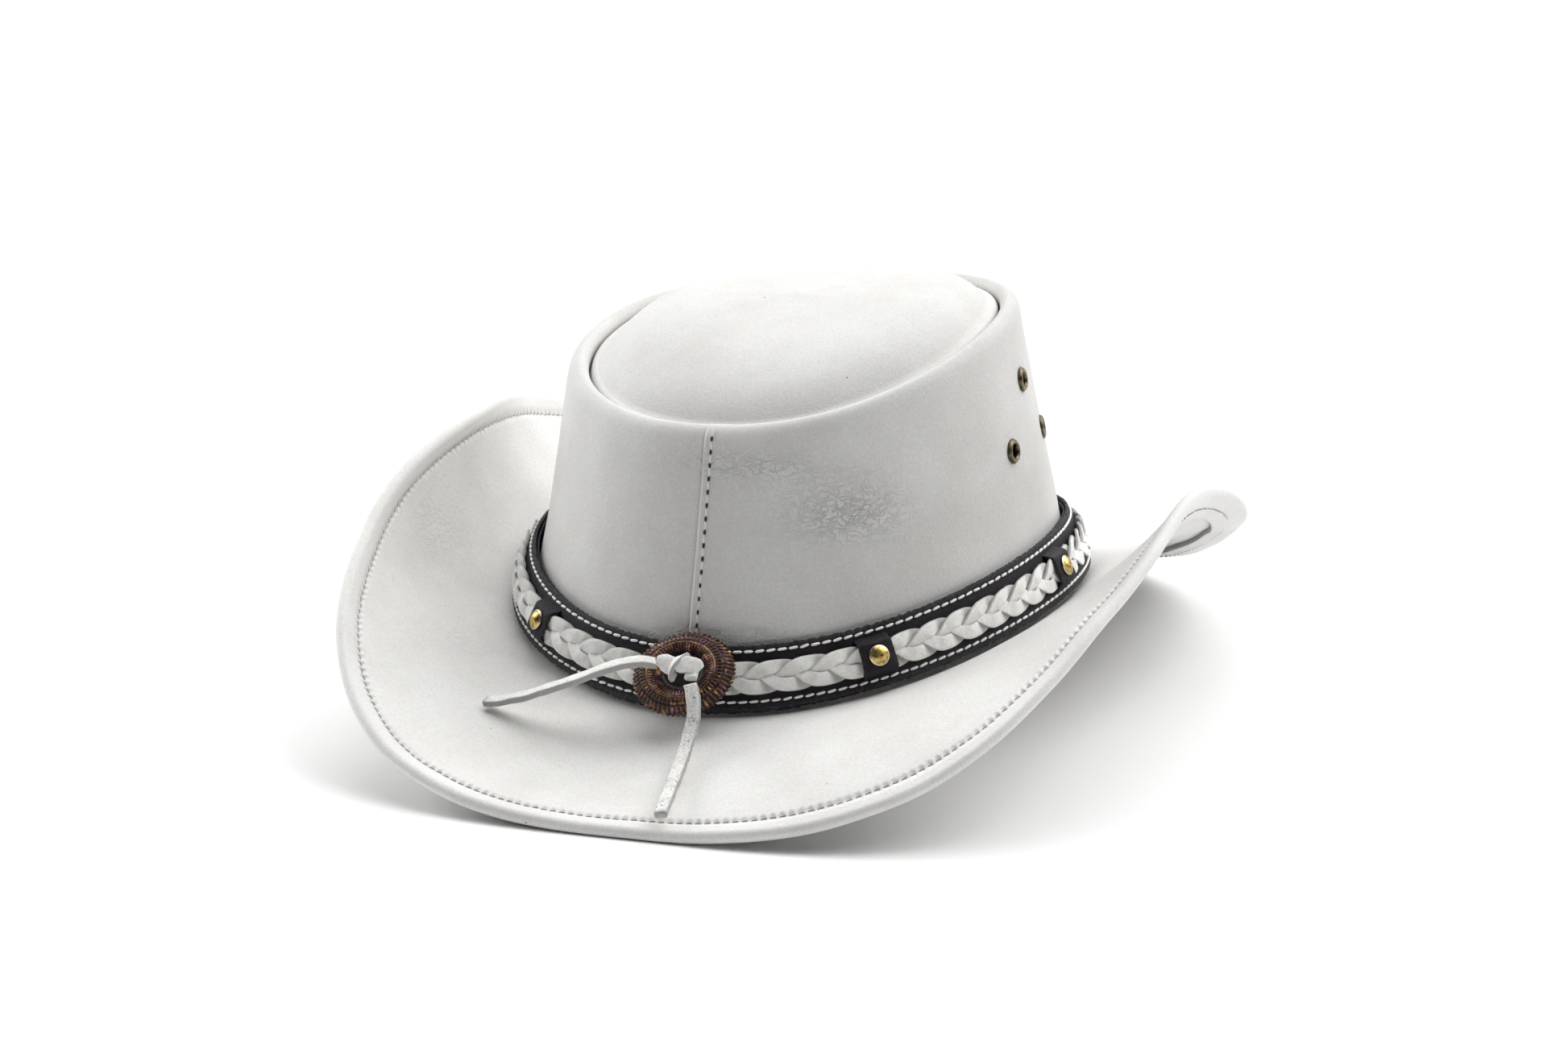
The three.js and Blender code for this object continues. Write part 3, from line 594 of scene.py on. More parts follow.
def white_leather(name, tone=1.0, puckers=False):
    """Smooth leather with cloudy tone, fine grain, dark specks and creases; tone scales its lightness."""
    n = Nodes(name)
    dull = tuple(np.array((0.70, 0.692, 0.672)) * tone)
    clean = tuple(np.array((0.78, 0.775, 0.757)) * tone)
    base = n.blend(n.ramp(n.noise(26, 4, 0.6), 0.3, 0.7), dull, clean)
    base = n.blend(n.ramp(n.noise(1300, 3, 0.75), 0.40, 0.66, 0.0, 0.2), base, (0.42, 0.415, 0.40))
    base = n.blend(n.ramp(n.noise(820, 3, 0.7), 0.52, 0.72, 0.0, 0.35), base, (0.86, 0.855, 0.84))
    for scale, low, high, share, amount in ((95, 0.020, 0.040, 0.50, 0.85), (240, 0.03, 0.07, 0.72, 0.5)):
        red = n.add("ShaderNodeSeparateColor", n.cells(scale, output="Color"))
        speck = n.times(n.ramp(n.cells(scale), low, high, 1.0, 0.0), n.math("GREATER_THAN", red, share))
        base = n.tint(base, speck, amount, (0.20, 0.17, 0.14))
    # Painted shade: darker where the value "groove" is high, in the gap under the crown's roll, the brim's
    # stitch valley and under the hem's cut edge.
    base = n.tint(base, n.value("groove"), 0.8, (0.22, 0.215, 0.21))
    pores = n.cells(1150, feature="SMOOTH_F1")
    grain = n.math("ADD", n.times(pores, 0.5), n.noise(1500, 2, 0.6))
    folds = n.noise(330, 4, 0.6, n.stretched(1, 1, 1.7), 0.4)
    creases = n.ramp(n.math("ABSOLUTE", n.math("SUBTRACT", folds, 0.5)), 0.0, 0.06, 0.0, 1.0)
    bumped = n.bump(n.times(creases, n.value("wrinkle")), 0.00055, 0.85)
    if puckers:
        bumped = n.bump(stitch_puckers(n), 0.0004, 1.0, bumped)
    bumped = n.bump(grain, 0.00016, 0.6, bumped)
    rough = n.ramp(n.noise(240, 3), 0.3, 0.7, 0.48, 0.62)
    n.set(base_color=base, normal=bumped, roughness=rough, specular_ior_level=0.3)
    return n.material


def stitch_puckers(n):
    """Ripples beside a stitched line, from a map with stitches along x and millimetres off the line in y."""
    along = n.add("ShaderNodeSeparateXYZ", n.add("ShaderNodeTexCoord", output="UV"))
    off_line = along.node.outputs[1]
    ripple = n.math("COSINE", n.times(along, 2 * math.pi))
    near = n.ramp(n.math("ABSOLUTE", off_line), 0.0, 2.2, 1.0, 0.0)
    return n.times(n.times(ripple, near), n.ramp(n.noise(90, 2), 0.3, 0.7, 0.3, 1.0))


def lining_leather():
    n = Nodes("lining leather")
    base = n.blend(n.ramp(n.noise(60, 4), 0.3, 0.7), (0.55, 0.48, 0.39), (0.66, 0.60, 0.51))
    n.set(base_color=base, roughness=n.ramp(n.noise(300), 0.3, 0.7, 0.6, 0.8))
    n.set(normal=n.bump(n.cells(900), 0.0001, 0.5))
    return n.material


def black_leather():
    """Dusty black leather, with pale loose fibres where the value "edge" is high."""
    n = Nodes("black leather")
    clouds = n.noise(120, 4, 0.65)
    base = n.blend(n.ramp(clouds, 0.35, 0.65), (0.006, 0.005, 0.007), (0.019, 0.015, 0.020))
    base = n.tint(base, n.ramp(n.noise(2600, 2, 0.8), 0.62, 0.8), 0.3, (0.13, 0.105, 0.13))
    edge = n.value("edge")
    fluff = n.times(edge, n.ramp(n.noise(1800, 3, 0.8), 0.45, 0.72))
    base = n.tint(base, fluff, 0.55, (0.21, 0.21, 0.21))
    grain = n.math("ADD", n.cells(1000), n.noise(1900, 3, 0.7))
    height = n.math("ADD", grain, n.times(n.times(edge, n.noise(1300, 4, 0.8)), 5.0))
    n.set(base_color=base, normal=n.bump(height, 0.00012, 0.7), specular_ior_level=0.3)
    n.set(roughness=n.ramp(clouds, 0.3, 0.7, 0.55, 0.72))
    return n.material


def suede(name, rough):
    """Split leather: rough is how coarse and dirty its nap is, from 0 to 1."""
    n = Nodes(name)
    base = n.blend(n.ramp(n.noise(260, 4, 0.65), 0.3, 0.7), (0.85, 0.84, 0.805), (0.96, 0.955, 0.93))
    fibres = n.noise(1500, 4, 0.75)
    nap = n.ramp(fibres, 0.47, 0.68, 0.0, mix(0.25, 0.85, rough))
    base = n.blend(nap, base, (0.36, 0.355, 0.34))
    pits = n.ramp(n.noise(900, 2, 0.6), 0.60, 0.70)
    base = n.tint(base, pits, mix(0.12, 0.75, rough), (0.13, 0.125, 0.12))
    # Painted shade: darker on the sides of laces, strands and knot where "edge" is high, and where braid
    # strands pass under where "groove" is high.
    base = n.tint(base, n.value("edge"), 0.8, (0.27, 0.27, 0.265))
    base = n.tint(base, n.value("groove"), 0.6, (0.26, 0.255, 0.24))
    height = n.math("ADD", fibres, n.noise(500, 3, 0.6))
    n.set(base_color=base, roughness=0.9, normal=n.bump(height, mix(0.0002, 0.0004, rough), 0.7))
    n.set(sheen_weight=0.5, sheen_roughness=0.5, specular_ior_level=0.2)
    return n.material


def thread(name, colour, twisted=0.75):
    n = Nodes(name)
    twist = n.noise(2200, 2, 0.6, n.stretched(1, 1, 2.4))
    darker = tuple(twisted * c for c in colour)
    n.set(base_color=n.blend(n.ramp(twist, 0.3, 0.7), darker, colour), roughness=0.75)
    n.set(normal=n.bump(twist, 0.0001, 0.7))
    return n.material


def metal(name, low, high, roughness, scale, wear, wear_share):
    """Cloudy metal between two colours, worn to a third where the value "edge" is high."""
    n = Nodes(name)
    clouds = n.noise(scale, 5, 0.65)
    base = n.blend(n.ramp(clouds, 0.35, 0.65), low, high)
    base = n.tint(base, n.value("edge"), wear_share, wear)
    scratch = n.noise(900, 4, 0.8, n.stretched(1, 6, 1))
    n.set(base_color=base, metallic=1.0, roughness=n.ramp(clouds, 0.3, 0.7, *roughness))
    n.set(normal=n.bump(scratch, 0.00006, 0.4))
    return n.material


def antique_copper():
    """Dark copper with gold, purple and green patches, with a painted highlight on the crests and painted
    shade, over its own dark hollows, in the grooves.
    """
    n = Nodes("antique copper")
    patches = n.noise(520, 4, 0.65, distortion=0.8)
    base = n.blend(n.ramp(patches, 0.44, 0.66), (0.020, 0.011, 0.013), (0.135, 0.062, 0.055))
    gold, purple, green = (0.85, 0.50, 0.14), (0.36, 0.14, 0.28), (0.08, 0.16, 0.09)
    for scale, low, colour in ((430, 0.55, gold), (390, 0.55, purple), (520, 0.60, green)):
        patch = n.ramp(n.noise(scale, 4, 0.65, distortion=0.5), low, low + 0.12, 0.0, 0.75)
        base = n.blend(patch, base, colour)
    # Painted highlight where "edge" is high; painted shade where "groove" is high, deepening the finish's
    # own dark hollows.
    deep = n.value("groove")
    base = n.tint(base, n.value("edge"), 0.24, (0.72, 0.46, 0.26))
    base = n.tint(base, deep, 0.96, (0.012, 0.010, 0.011))
    n.set(base_color=base, metallic=n.ramp(deep, 0.2, 0.9, 0.9, 0.2))
    n.set(roughness=n.ramp(patches, 0.3, 0.7, 0.3, 0.5))
    n.set(normal=n.bump(n.noise(1500, 3, 0.7), 0.00012, 0.5))
    return n.material


# Each look is a material and the name of its slot.
# The walls' leather is a darker copy and the brim's a lighter copy of the tip's: painted shade on the walls,
# painted light on the brim.
SHADED_WHITE_WALL = (white_leather("white wall leather", 0.94), "white_leather")
WHITE = (white_leather("white leather"), "white_leather")
LIT_WHITE_BRIM = (white_leather("white brim leather", 1.09, puckers=True), "white_leather")
LINING = (lining_leather(), "lining_leather")
BLACK = (black_leather(), "black_leather")
SUEDE = (suede("braid leather", 0.0), "suede_lace")
LACE = (suede("rough lace", 1.0), "suede_lace")
SMOOTH_LACE = (suede("smooth lace", 0.25), "suede_lace")
WHITE_THREAD = (thread("white thread", (0.99, 0.985, 0.965), 0.9), "white_thread")
GREY_THREAD = (thread("grey thread", (0.52, 0.51, 0.50)), "grey_thread")
SEAM_THREAD = (thread("seam thread", (0.90, 0.89, 0.87)), "grey_thread")
# Near-black, for capsules that stand in for the shade inside needle holes.
HOLE = (thread("needle hole", (0.02, 0.02, 0.02)), "grey_thread")
BRIGHT = ((0.34, 0.22, 0.05), (0.80, 0.60, 0.24), (0.22, 0.42), 900, (0.95, 0.88, 0.70), 0.75)
BRASS = (metal("rivet brass", *BRIGHT), "rivet_brass")
AGED = ((0.055, 0.047, 0.035), (0.15, 0.125, 0.085), (0.3, 0.45), 500, (0.45, 0.36, 0.22), 0.55)
OLD_BRASS = (metal("antique brass", *AGED), "antique_brass")
COPPER = (antique_copper(), "antique_copper")

# ---- laces, the free cords


def lace_sections(route, facing, rows, seed):
    """Rings of a flat lace, with soft corners and slightly uneven sides, and its centreline."""
    centre, length = through(route, np.linspace(0, 1, rows))
    tangent = unit(np.gradient(centre, axis=0))
    across = unit(np.cross(tangent, np.asarray(facing, float)))
    face = np.cross(across, tangent)
    turn = circle(28) + math.pi / 28
    u, v = rounded(turn, 0.42)
    ragged = waves(centre, 7, seed)[:, None]
    wide, thick = LACE_WIDTH / 2 + 0.1 * ragged, LACE_THICK / 2 + 0.06 * np.roll(ragged, 3)
    points = rings(centre, across, face, u * wide, v * thick)
    rough = waves(points, 1.4, seed + 1)
    side = smooth(0.85, 0.99, np.abs(u))[None, :]
    points += (points - centre[:, None]) * (0.035 * rough * side + 0.012 * rough)[..., None]
    return points, centre, length, np.broadcast_to(side, (rows, len(turn)))


def add_tail(name, node, route, facing, seed, look):
    """A free end of the lace, as a skin."""
    rows = 90
    points, centre, length, side = lace_sections(route, facing, rows, seed)
    # Painted shade on the lace's sides, kept as "edge", which also darkens its last few millimetres.
    cut_end = 0.8 * smooth(0.965, 1.0, np.linspace(0, 1, rows))[:, None]
    values = {"edge": np.maximum(side, cut_end), "groove": np.zeros(side.size)}
    piece = add_tube(name, points, "hatband", look, closed_ring=False, nodes=[node], values=values)
    path = (centre - ORIGIN) * MM
    tuple(path[0])


add_tail("lace_front", "lace_tail_front", DROP_TAIL, (0, -0.7, 0.7), 11, LACE)
add_tail("lace_side", "lace_tail_side", SIDE_TAIL, (0, -0.3, 0.95), 12, SMOOTH_LACE)

# ---- crown


WALL_ROWS = 46
ROLL_ROWS = 21


def wall_profile(angle, inner=False):
    """(out, z) pairs from the break line over the roll to the turned edge, one row per angle."""
    top = top_height(angle)
    roll_foot = top - ROLL_HEIGHT
    leather = CROWN_LEATHER if inner else 0.0
    half_width = ROLL_WIDTH / 2
    rows = []
    for share in np.linspace(0, 1, WALL_ROWS):
        rows.append((np.full_like(angle, -leather), mix(break_height(angle) + 1, roll_foot, share)))
    for turn in np.linspace(0, 180, ROLL_ROWS + 1)[1:]:
        out = -half_width + (half_width - leather) * cos(turn)
        rows.append((np.full_like(angle, out), roll_foot + (ROLL_HEIGHT - leather) * sin(turn)))
    for share in (0.35, 0.7, 1.0):
        rows.append((np.full_like(angle, leather - ROLL_WIDTH), mix(roll_foot, top - TURN_DOWN, share)))
    out, z = zip(*rows)
    return np.stack(out, 1), np.stack(z, 1)


def leather_ripple(points, seed):
    """How far hand-worked leather strays from its ideal surface, in millimetres."""
    return 0.28 * waves(points, 58, seed) + 0.10 * waves(points, 21, seed + 1)


def wall_piece(name, node, angles, lift_outer, lift_inner, holes):
    out, z = wall_profile(angles)
    inner_out, inner_z = wall_profile(angles, inner=True)
    full = np.column_stack([angles] * out.shape[1])
    outer = crown_point(full, z, out)
    inner = crown_point(full, inner_z, inner_out)
    low_on_roll = z[:, [WALL_ROWS + 4]]
    high_on_roll = z[:, [WALL_ROWS + 14]]
    share = (z - z[:, :1]) / (low_on_roll - z[:, :1])
    calm = smooth(0.0, 0.25, share) * (1 - smooth(0.9, 1.0, share))
    moved = leather_ripple(outer, 3) * calm
    on_roll = np.clip(out / -ROLL_WIDTH, 0, 1)
    normal = np.concatenate([outward(full, np.clip(share, 0, 1)), np.zeros((*full.shape, 1))], -1)
    outer += normal * (moved + lift_outer(full) * (1 - on_roll))[..., None]
    inner += normal * (moved + lift_inner(full) * (1 - on_roll))[..., None]
    sections = np.concatenate([outer, inner[:, ::-1]], 1)
    wrinkle = wrinkle_mask(outer)
    inside = np.zeros_like(wrinkle)
    # Painted shade on the turned-down edge inside the roll, carried as "groove".
    turned = smooth(0.93, 1.0, on_roll) * smooth(-0.5, 3.0, high_on_roll - z)
    values = {
        "wrinkle": np.concatenate([wrinkle, inside], 1),
        "groove": np.concatenate([0.25 * turned, inside], 1),
    }
    piece = add_tube(name, sections, "hat", SHADED_WHITE_WALL, closed_ring=False, nodes=[node], values=values)
    cut_holes(piece, holes, EYELET_HOLE, 14)


def spot(points, angle, height, reach_along, reach_up):
    """1 at a place on the crown, fading to 0 around it."""
    place = crown_point(angle, break_height(angle) + height)
    along, up, _ = crown_axes(angle, break_height(angle) + height)
    away = points - place
    return np.exp(-((away @ along / reach_along) ** 2) - (away @ up / reach_up) ** 2)


def wrinkle_mask(points):
    """Where the crown's leather is finely creased."""
    creased = 0.75 * spot(points, 31, 54, 18, 9)
    creased += 0.45 * spot(points, 8, 72, 26, 5)
    creased += 0.7 * spot(points, -3, 21, 10, 3)
    creased += 0.5 * spot(points, 12, 22, 14, 3)
    return creased


def eyelet_places(side):
    """Points and axes of the three eyelets on one side, 1 for the wearer's left and -1 for the right."""
    places = []
    for angle, height in EYELETS:
        z = break_height(side * angle) + height
        places.append((crown_point(side * angle, z), crown_axes(side * angle, z)))
    return places


def crown_holes(side):
    return [(tuple(point), tuple(axes[2])) for point, axes in eyelet_places(side)]


def make_crown():
    """Two wall panels; the left one laps over the right at the front and the back."""

    def left_outer(angle):
        return 0.38 * (1 - smooth(LAP, 9, np.abs(angle)) + 1 - smooth(LAP, 9, np.abs(angle - 180)))

    def left_inner(angle):
        lapped = bump(angle, 0, LAP) + bump(angle, 180, LAP)
        return 1.2 * np.clip(lapped * 1.4, 0, 1)

    def right_outer(angle):
        return -1.25 * (2 - smooth(-1.0, 0.6, -LAP - angle) - smooth(-1.0, 0.6, angle + 180 - LAP))

    front, back = np.linspace(-LAP, 12, 30), np.linspace(169, 180 + LAP, 24)
    left = np.concatenate([front, np.arange(13.5, 168, 1.5), back])
    front, back = np.linspace(LAP, -8, 26), np.linspace(-172, LAP - 180, 16)
    right = np.concatenate([front, -np.arange(9.5, 171, 1.5), back])
    wall_piece("crown_left", "crown_side_left", left, left_outer, left_inner, crown_holes(1))
    wall_piece("crown_right", "crown_side_right", right, right_outer, np.zeros_like, crown_holes(-1))


def make_tip():
    """The domed oval top: its shoulder turns down inside the roll."""
    angles = np.arange(0, 360, 1.5)
    ring = len(angles)
    top = top_height(angles)
    edge_out = -ROLL_WIDTH - 0.7
    corner = 2.2
    dome_rows, corner_rows, under_rows = 52, 6, 18
    centre = (outline(0.0, 1.0) + outline(180.0, 1.0)) / 2
    middle = mix(FRONT_HEIGHT, BACK_HEIGHT, 0.5) + TOP_SIDE_RISE / 2
    shoulder = crown_point(angles, top, edge_out - corner)[:, :2] - centre

    def domed(share, drop):
        height = mix(middle, top - 2, share) + TIP_DOME * (1 - share**TIP_FULLNESS) - drop
        return np.concatenate([centre + shoulder * share, height[:, None]], -1)

    rows = [domed(share, 0) for share in np.linspace(0.02, 1, dome_rows)]
    for turn in np.linspace(15, 90, corner_rows):
        out = edge_out - corner + corner * sin(turn)
        rows.append(crown_point(angles, top - 2 - 1.8 * (1 - cos(turn)), out))
    rows.append(crown_point(angles, top - TURN_DOWN, edge_out))
    rows.append(crown_point(angles, top - TURN_DOWN, edge_out - TIP_LEATHER))
    rows.append(crown_point(angles, top - 4.4, edge_out - TIP_LEATHER))
    rows += [domed(share * 0.985, TIP_LEATHER) for share in np.linspace(1, 0.02, under_rows)]
    sections = np.stack(rows, 1)
    fade = np.ones(len(rows))
    fade[dome_rows - 12 : dome_rows - 4] = np.linspace(1, 0, 8)
    fade[dome_rows - 4 : -under_rows] = 0
    fade[-under_rows:] = np.linspace(0, 1, under_rows)
    sections[..., 2] += (0.35 * waves(sections, 64, 21) + 0.12 * waves(sections, 24, 22)) * fade
    columns = len(rows)
    faces = grid_faces(ring, columns, True, False, True)[0]
    faces.append([i * columns for i in range(ring)])
    faces.append([i * columns + columns - 1 for i in range(ring)][::-1])
    # Painted shade on the shoulder where it turns in under the roll.
    groove = np.zeros((ring, columns))
    groove[:, dome_rows + 2 : dome_rows + 8] = np.linspace(0.05, 0.4, 6)
    values = {"wrinkle": np.zeros(groove.size), "groove": groove}
    add_piece("crown_top", sections.reshape(-1, 3), faces, "hat", WHITE, nodes=["crown_tip"], values=values)


def make_seam(name, node, angle):
    """Stitches up the lapped seam and onto the roll: pale threads between dark capsules painted as the shade
    of the needle holes.
    """
    wall_top = top_height(angle) - ROLL_HEIGHT
    heights = np.linspace(break_height(angle) + SEAM_START, wall_top, 60)
    wall = crown_point(angle, heights, SEAM_LIFT)
    wall_normals = crown_axes(np.full_like(heights, angle), heights)[2]
    turn = np.linspace(4, 64, 12)
    lap_lift = 0.3
    over = ROLL_WIDTH / 2 * (cos(turn) - 1) + lap_lift
    leaning = outward(np.full_like(turn, angle), 1.0) * cos(turn)[:, None]
    roll_normals = np.column_stack([leaning, sin(turn)])
    roll = crown_point(angle, wall_top + ROLL_HEIGHT * sin(turn), over)
    roll += roll_normals * (SEAM_LIFT - lap_lift)
    route, normals = np.vstack([wall, roll]), np.vstack([wall_normals, roll_normals])
    centre, direction, normal = along_route(route, normals, SEAM_PITCH)
    frames = stitch_frames(centre, direction, normal, 4 * np.sin(np.arange(len(centre)) * 2.3))
    add_copies(name, capsule(1.35, 0.3), frames, "hat", SEAM_THREAD, nodes=[node])
    # Dark capsules at the needle holes: painted shade.
    centre, direction, normal = along_route(route, normals, SEAM_PITCH, start=0.0)
    frames = stitch_frames(centre - normal * 0.02, direction, normal)
    add_copies(name + "_holes", capsule(0.78, 0.42), frames, "hat", HOLE)


def make_eyelets():
    """Flanged eyelets through the crown's holes, each with a washer inside."""
    eyelet = [(2.2, 0.35), (2.45, 0.85), (2.9, 1.12), (3.4, 0.95), (3.8, 0.5), (4.0, 0.05), (3.9, -0.1)]
    eyelet += [(2.7, -0.1), (2.6, -0.6), (2.6, -4.2), (2.2, -4.2), (2.2, -2.0), (2.15, -0.5)]
    washer = [(2.95, -0.6), (4.1, -0.6), (4.2, -0.3), (4.1, 0.0), (2.95, 0.0)]
    for side, label in ((1, "left"), (-1, "right")):
        for number, (point, axes) in enumerate(eyelet_places(side), 1):
            for profile, kind, depth in ((eyelet, "eyelet", 0.1), (washer, "eyelet_washer", -2.4)):
                node = f"{kind}_{label}_{number}"
                rings = lathe_points(profile, 48) + np.array([0, 0, depth])
                placed = (rings @ np.column_stack(axes).T + point).transpose(1, 0, 2)
                worn = np.array([bump(radius, 3.0, 0.5) * (height > 0.6) for radius, height in profile])
                values = {"edge": np.broadcast_to(worn, placed.shape[:2])}
                add_tube(node + "_fine", placed, "hat", OLD_BRASS, nodes=[node], values=values)


def make_sweatband():
    """The lining strip inside the crown's foot, and its row of stitches."""
    angles = np.arange(0, 360, 1.5)
    foot = break_height(angles)
    heights = np.linspace(1.5, SWEATBAND_HEIGHT, 24)
    outer_face, inner_face = SWEATBAND_FACES
    outer = np.stack([crown_point(angles, foot + h, outer_face) for h in heights], 1)
    inner = np.stack([crown_point(angles, foot + h, inner_face) for h in heights[::-1]], 1)
    inner[..., 2] += 0.05 * waves(inner, 30, 31)
    add_tube("sweatband_lining", np.concatenate([outer, inner], 1), "hat", LINING, nodes=["sweatband"])
    fine = np.arange(0, 360.5, 0.5)
    route = crown_point(fine, break_height(fine) + 5, inner_face - 0.25)
    normals = -crown_axes(fine, break_height(fine) + 5)[2]
    frames = stitch_frames(*along_route(route, normals, 4.0))
    nodes = ["sweatband_thread"]
    add_copies("sweatband_stitches", capsule(1.4, 0.28), frames, "hat", GREY_THREAD, nodes=nodes)


make_crown()
make_tip()
make_seam("seam_front", "crown_front_thread", SEAM_ANGLE)
make_seam("seam_back", "crown_back_thread", 180 - SEAM_ANGLE)
make_eyelets()
make_sweatband()

# ---- brim


def brim_ripple(points):
    """How far the brim's leather strays from its ideal surface, in millimetres."""
    return 0.42 * waves(points, 75, 41) + 0.14 * waves(points, 26, 42)


def make_brim():
    """One skin: collar, open brim, hem and bead, and back underneath.  Returns its line."""
    angles = np.arange(0, 360, 0.4)
    line = BrimLine(angles)
    length = line.length
    hem_edge = length - HEM_WIDTH
    rows, lifts, across = [], [], []

    def row(points, off_line, free=0.8):
        """off_line is how far the row lies inside or outside the stitches; free is how much it ripples."""
        rows.append(points)
        across.append(off_line)
        lifts.append(free)

    def collar(height, out):
        row(crown_point(angles, break_height(angles) + height, out), -70, 0)

    inner = -CROWN_LEATHER - 0.35
    collar(9, inner)
    collar(4, inner)
    collar(0.8, inner + 0.1)
    collar(0.0, -0.9)
    collar_rows = len(rows)
    for share in np.linspace(0, 1, 44):
        off_line = mix(-60, STITCH_LINE - HEM_WIDTH, share)
        row(line.at(share * (hem_edge - 1), 0), off_line, smooth(0.08, 0.35, share))
    hem_start = len(rows)
    hem_backs = np.linspace(HEM_WIDTH, BEAD, 22)
    for back in hem_backs:
        lift = 0.05 - 0.55 * bump(back, STITCH_LINE, 1.1) + 0.4 * (1 - smooth(BEAD, 4.4, back))
        row(line.at(length - back, lift), STITCH_LINE - back, 0.9)
    hem_end = len(rows)
    for turn in np.linspace(95, -90, 19):
        row(line.bead(BEAD, turn), 5 + (95 - turn) / 20)
    for back in np.linspace(1.6, HEM_WIDTH - 0.2, 10):
        row(line.at(length - back, -3.9 + 0.5 * smooth(3.0, 9.0, back)), 20)
    raw_edge = len(rows)
    row(line.at(hem_edge, -3.1), 20)
    row(line.at(hem_edge - 0.05, -2.1), 20)
    row(line.at(hem_edge + 0.3, -1.75), 20)
    for share in np.linspace(1, 0, 30):
        row(line.at(share * hem_edge, -BRIM_LEATHER), -60, smooth(0.08, 0.35, share))
    collar(-0.9, -2.4)
    collar(0.3, inner - BRIM_LEATHER)
    collar(9, inner - BRIM_LEATHER)
    sections = np.stack(rows, 1)
    free = np.stack([np.broadcast_to(lift, angles.shape) for lift in lifts], 1)
    sections[..., 2] = np.maximum(sections[..., 2] + brim_ripple(sections) * free, ORIGIN[2])
    stitched = line.at(length - STITCH_LINE, 0)
    run = run_along(np.vstack([stitched, stitched[:1]]))
    along = run / run[-1] * round(run[-1] / STITCH_PITCH)
    wrinkle = np.zeros(sections.shape[:2])
    wrinkle[:, collar_rows:hem_start] = brim_wrinkles(sections[:, collar_rows:hem_start])
    # Painted shade in the valley at the stitch line and along the hem's cut edge underneath.
    groove = np.zeros(sections.shape[:2])
    groove[:, hem_start:hem_end] = 0.22 * bump(hem_backs, STITCH_LINE, 0.6)
    groove[:, raw_edge : raw_edge + 3] = 0.8
    add_tube(
        "brim_leather", sections, "hat", LIT_WHITE_BRIM, nodes=["brim", "brim_wire"], along=along,
        across=np.append(across, across[0]), values={"wrinkle": wrinkle, "groove": groove},
    )
    return line


def brim_wrinkles(points):
    """Where the brim's leather is finely creased."""
    creased = np.zeros(points.shape[:-1])
    for place, reach, depth in (((-112, -38, 30), 16, 0.25), ((-88, -80, 5), 12, 0.2)):
        away = np.linalg.norm(points - np.array(place), axis=-1)
        creased += depth * np.exp(-((away / reach) ** 2))
    return creased


def make_brim_stitches(line):
    """Short grey stitches, a little crooked, in the valley behind the rim and again underneath."""
    stitch = line.length - STITCH_LINE
    route = line.at(stitch, -0.36)
    normals = unit(line.at(stitch, 1.0) - line.at(stitch, 0))
    route, normals = np.vstack([route, route[:1]]), np.vstack([normals, normals[:1]])
    centre, direction, normal = along_route(route, normals, STITCH_PITCH)
    rng = np.random.default_rng(5)
    slant = 14 + rng.normal(0, 7, len(centre))
    centre = centre + unit(np.cross(normal, direction)) * rng.normal(0, 0.1, len(centre))[:, None]
    raised = centre.copy()
    raised[:, 2] += 0.9 * brim_ripple(centre)
    frames = stitch_frames(raised, direction, normal, slant)
    add_copies("brim_stitches", capsule(0.95, 0.27), frames, "hat", GREY_THREAD, nodes=["brim_edge_thread"])
    frames = stitch_frames(centre - normal * 3.5, direction, normal, -slant)
    add_copies("brim_stitches_under", capsule(0.8, 0.26), frames, "hat", GREY_THREAD)


make_brim_stitches(make_brim())

# ---- band


def ply_section(low, high, inner, thick):
    """A flat strip's outline with softened corners: (height, out) pairs."""
    soft, outer = 0.3, inner + thick
    sides = [
        np.column_stack([np.linspace(low + soft, high - soft, 14), np.full(14, outer)]),
        [[high - 0.1, outer - 0.1], [high, outer - soft], [high, inner + thick * 0.5], [high, inner + soft]],
        np.column_stack([np.linspace(high - soft, low + soft, 6), np.full(6, inner)]),
        [[low, inner + soft], [low, inner + thick * 0.5], [low, outer - soft], [low + 0.1, outer - 0.1]],
    ]
    return np.vstack(sides)


def band_strip(name, node, section, seed):
    """A black strip round the crown, with ragged edges and a little sway."""
    half_gap = 0.7
    angles = np.linspace(OPEN_AT + half_gap, OPEN_AT + 360 - half_gap, 900)
    full, height = np.meshgrid(angles, section[:, 0], indexing="ij")
    points = band_point(full, height, section[:, 1])
    low, high = section[:, 0].min(), section[:, 0].max()

    def near_edge(reach):
        return np.maximum(1 - smooth(low, low + reach, height), smooth(high - reach, high, height))

    ragged = 0.30 * waves(points, 2.2, seed) + 0.16 * waves(points, 0.9, seed + 1)
    points += crown_axes(full, points[..., 2])[1] * (near_edge(0.5) * ragged * 0.55)[..., None]
    sway = np.maximum(0.14 * waves(points, 34, seed + 2), -0.08)
    points += crown_axes(full, points[..., 2])[2] * sway[..., None]
    values = {"edge": near_edge(0.9)}
    add_tube(name, points, "hatband", BLACK, closed_ring=False, nodes=[node], values=values)


def make_rows():
    """The two rows of white stitches along the strap."""
    for name, side in (("upper", 1), ("lower", -1)):
        angles = np.linspace(OPEN_AT + 1.2, OPEN_AT + 358.8, 1400)
        route = band_point(angles, BAND_HEIGHT / 2 + ROW_RISE + side * ROW_GAP, STRAP_FACE + 0.22)
        normals = crown_axes(angles, route[:, 2])[2]
        centre, direction, normal = along_route(route, normals, ROW_PITCH)
        slant = 5 + np.random.default_rng(60 + side).normal(0, 2.5, len(centre))
        frames = stitch_frames(centre, direction, normal, slant)
        nodes = [f"band_thread_{name}"]
        add_copies(f"band_stitches_{name}", capsule(1.5, 0.42), frames, "hatband", WHITE_THREAD, nodes=nodes)


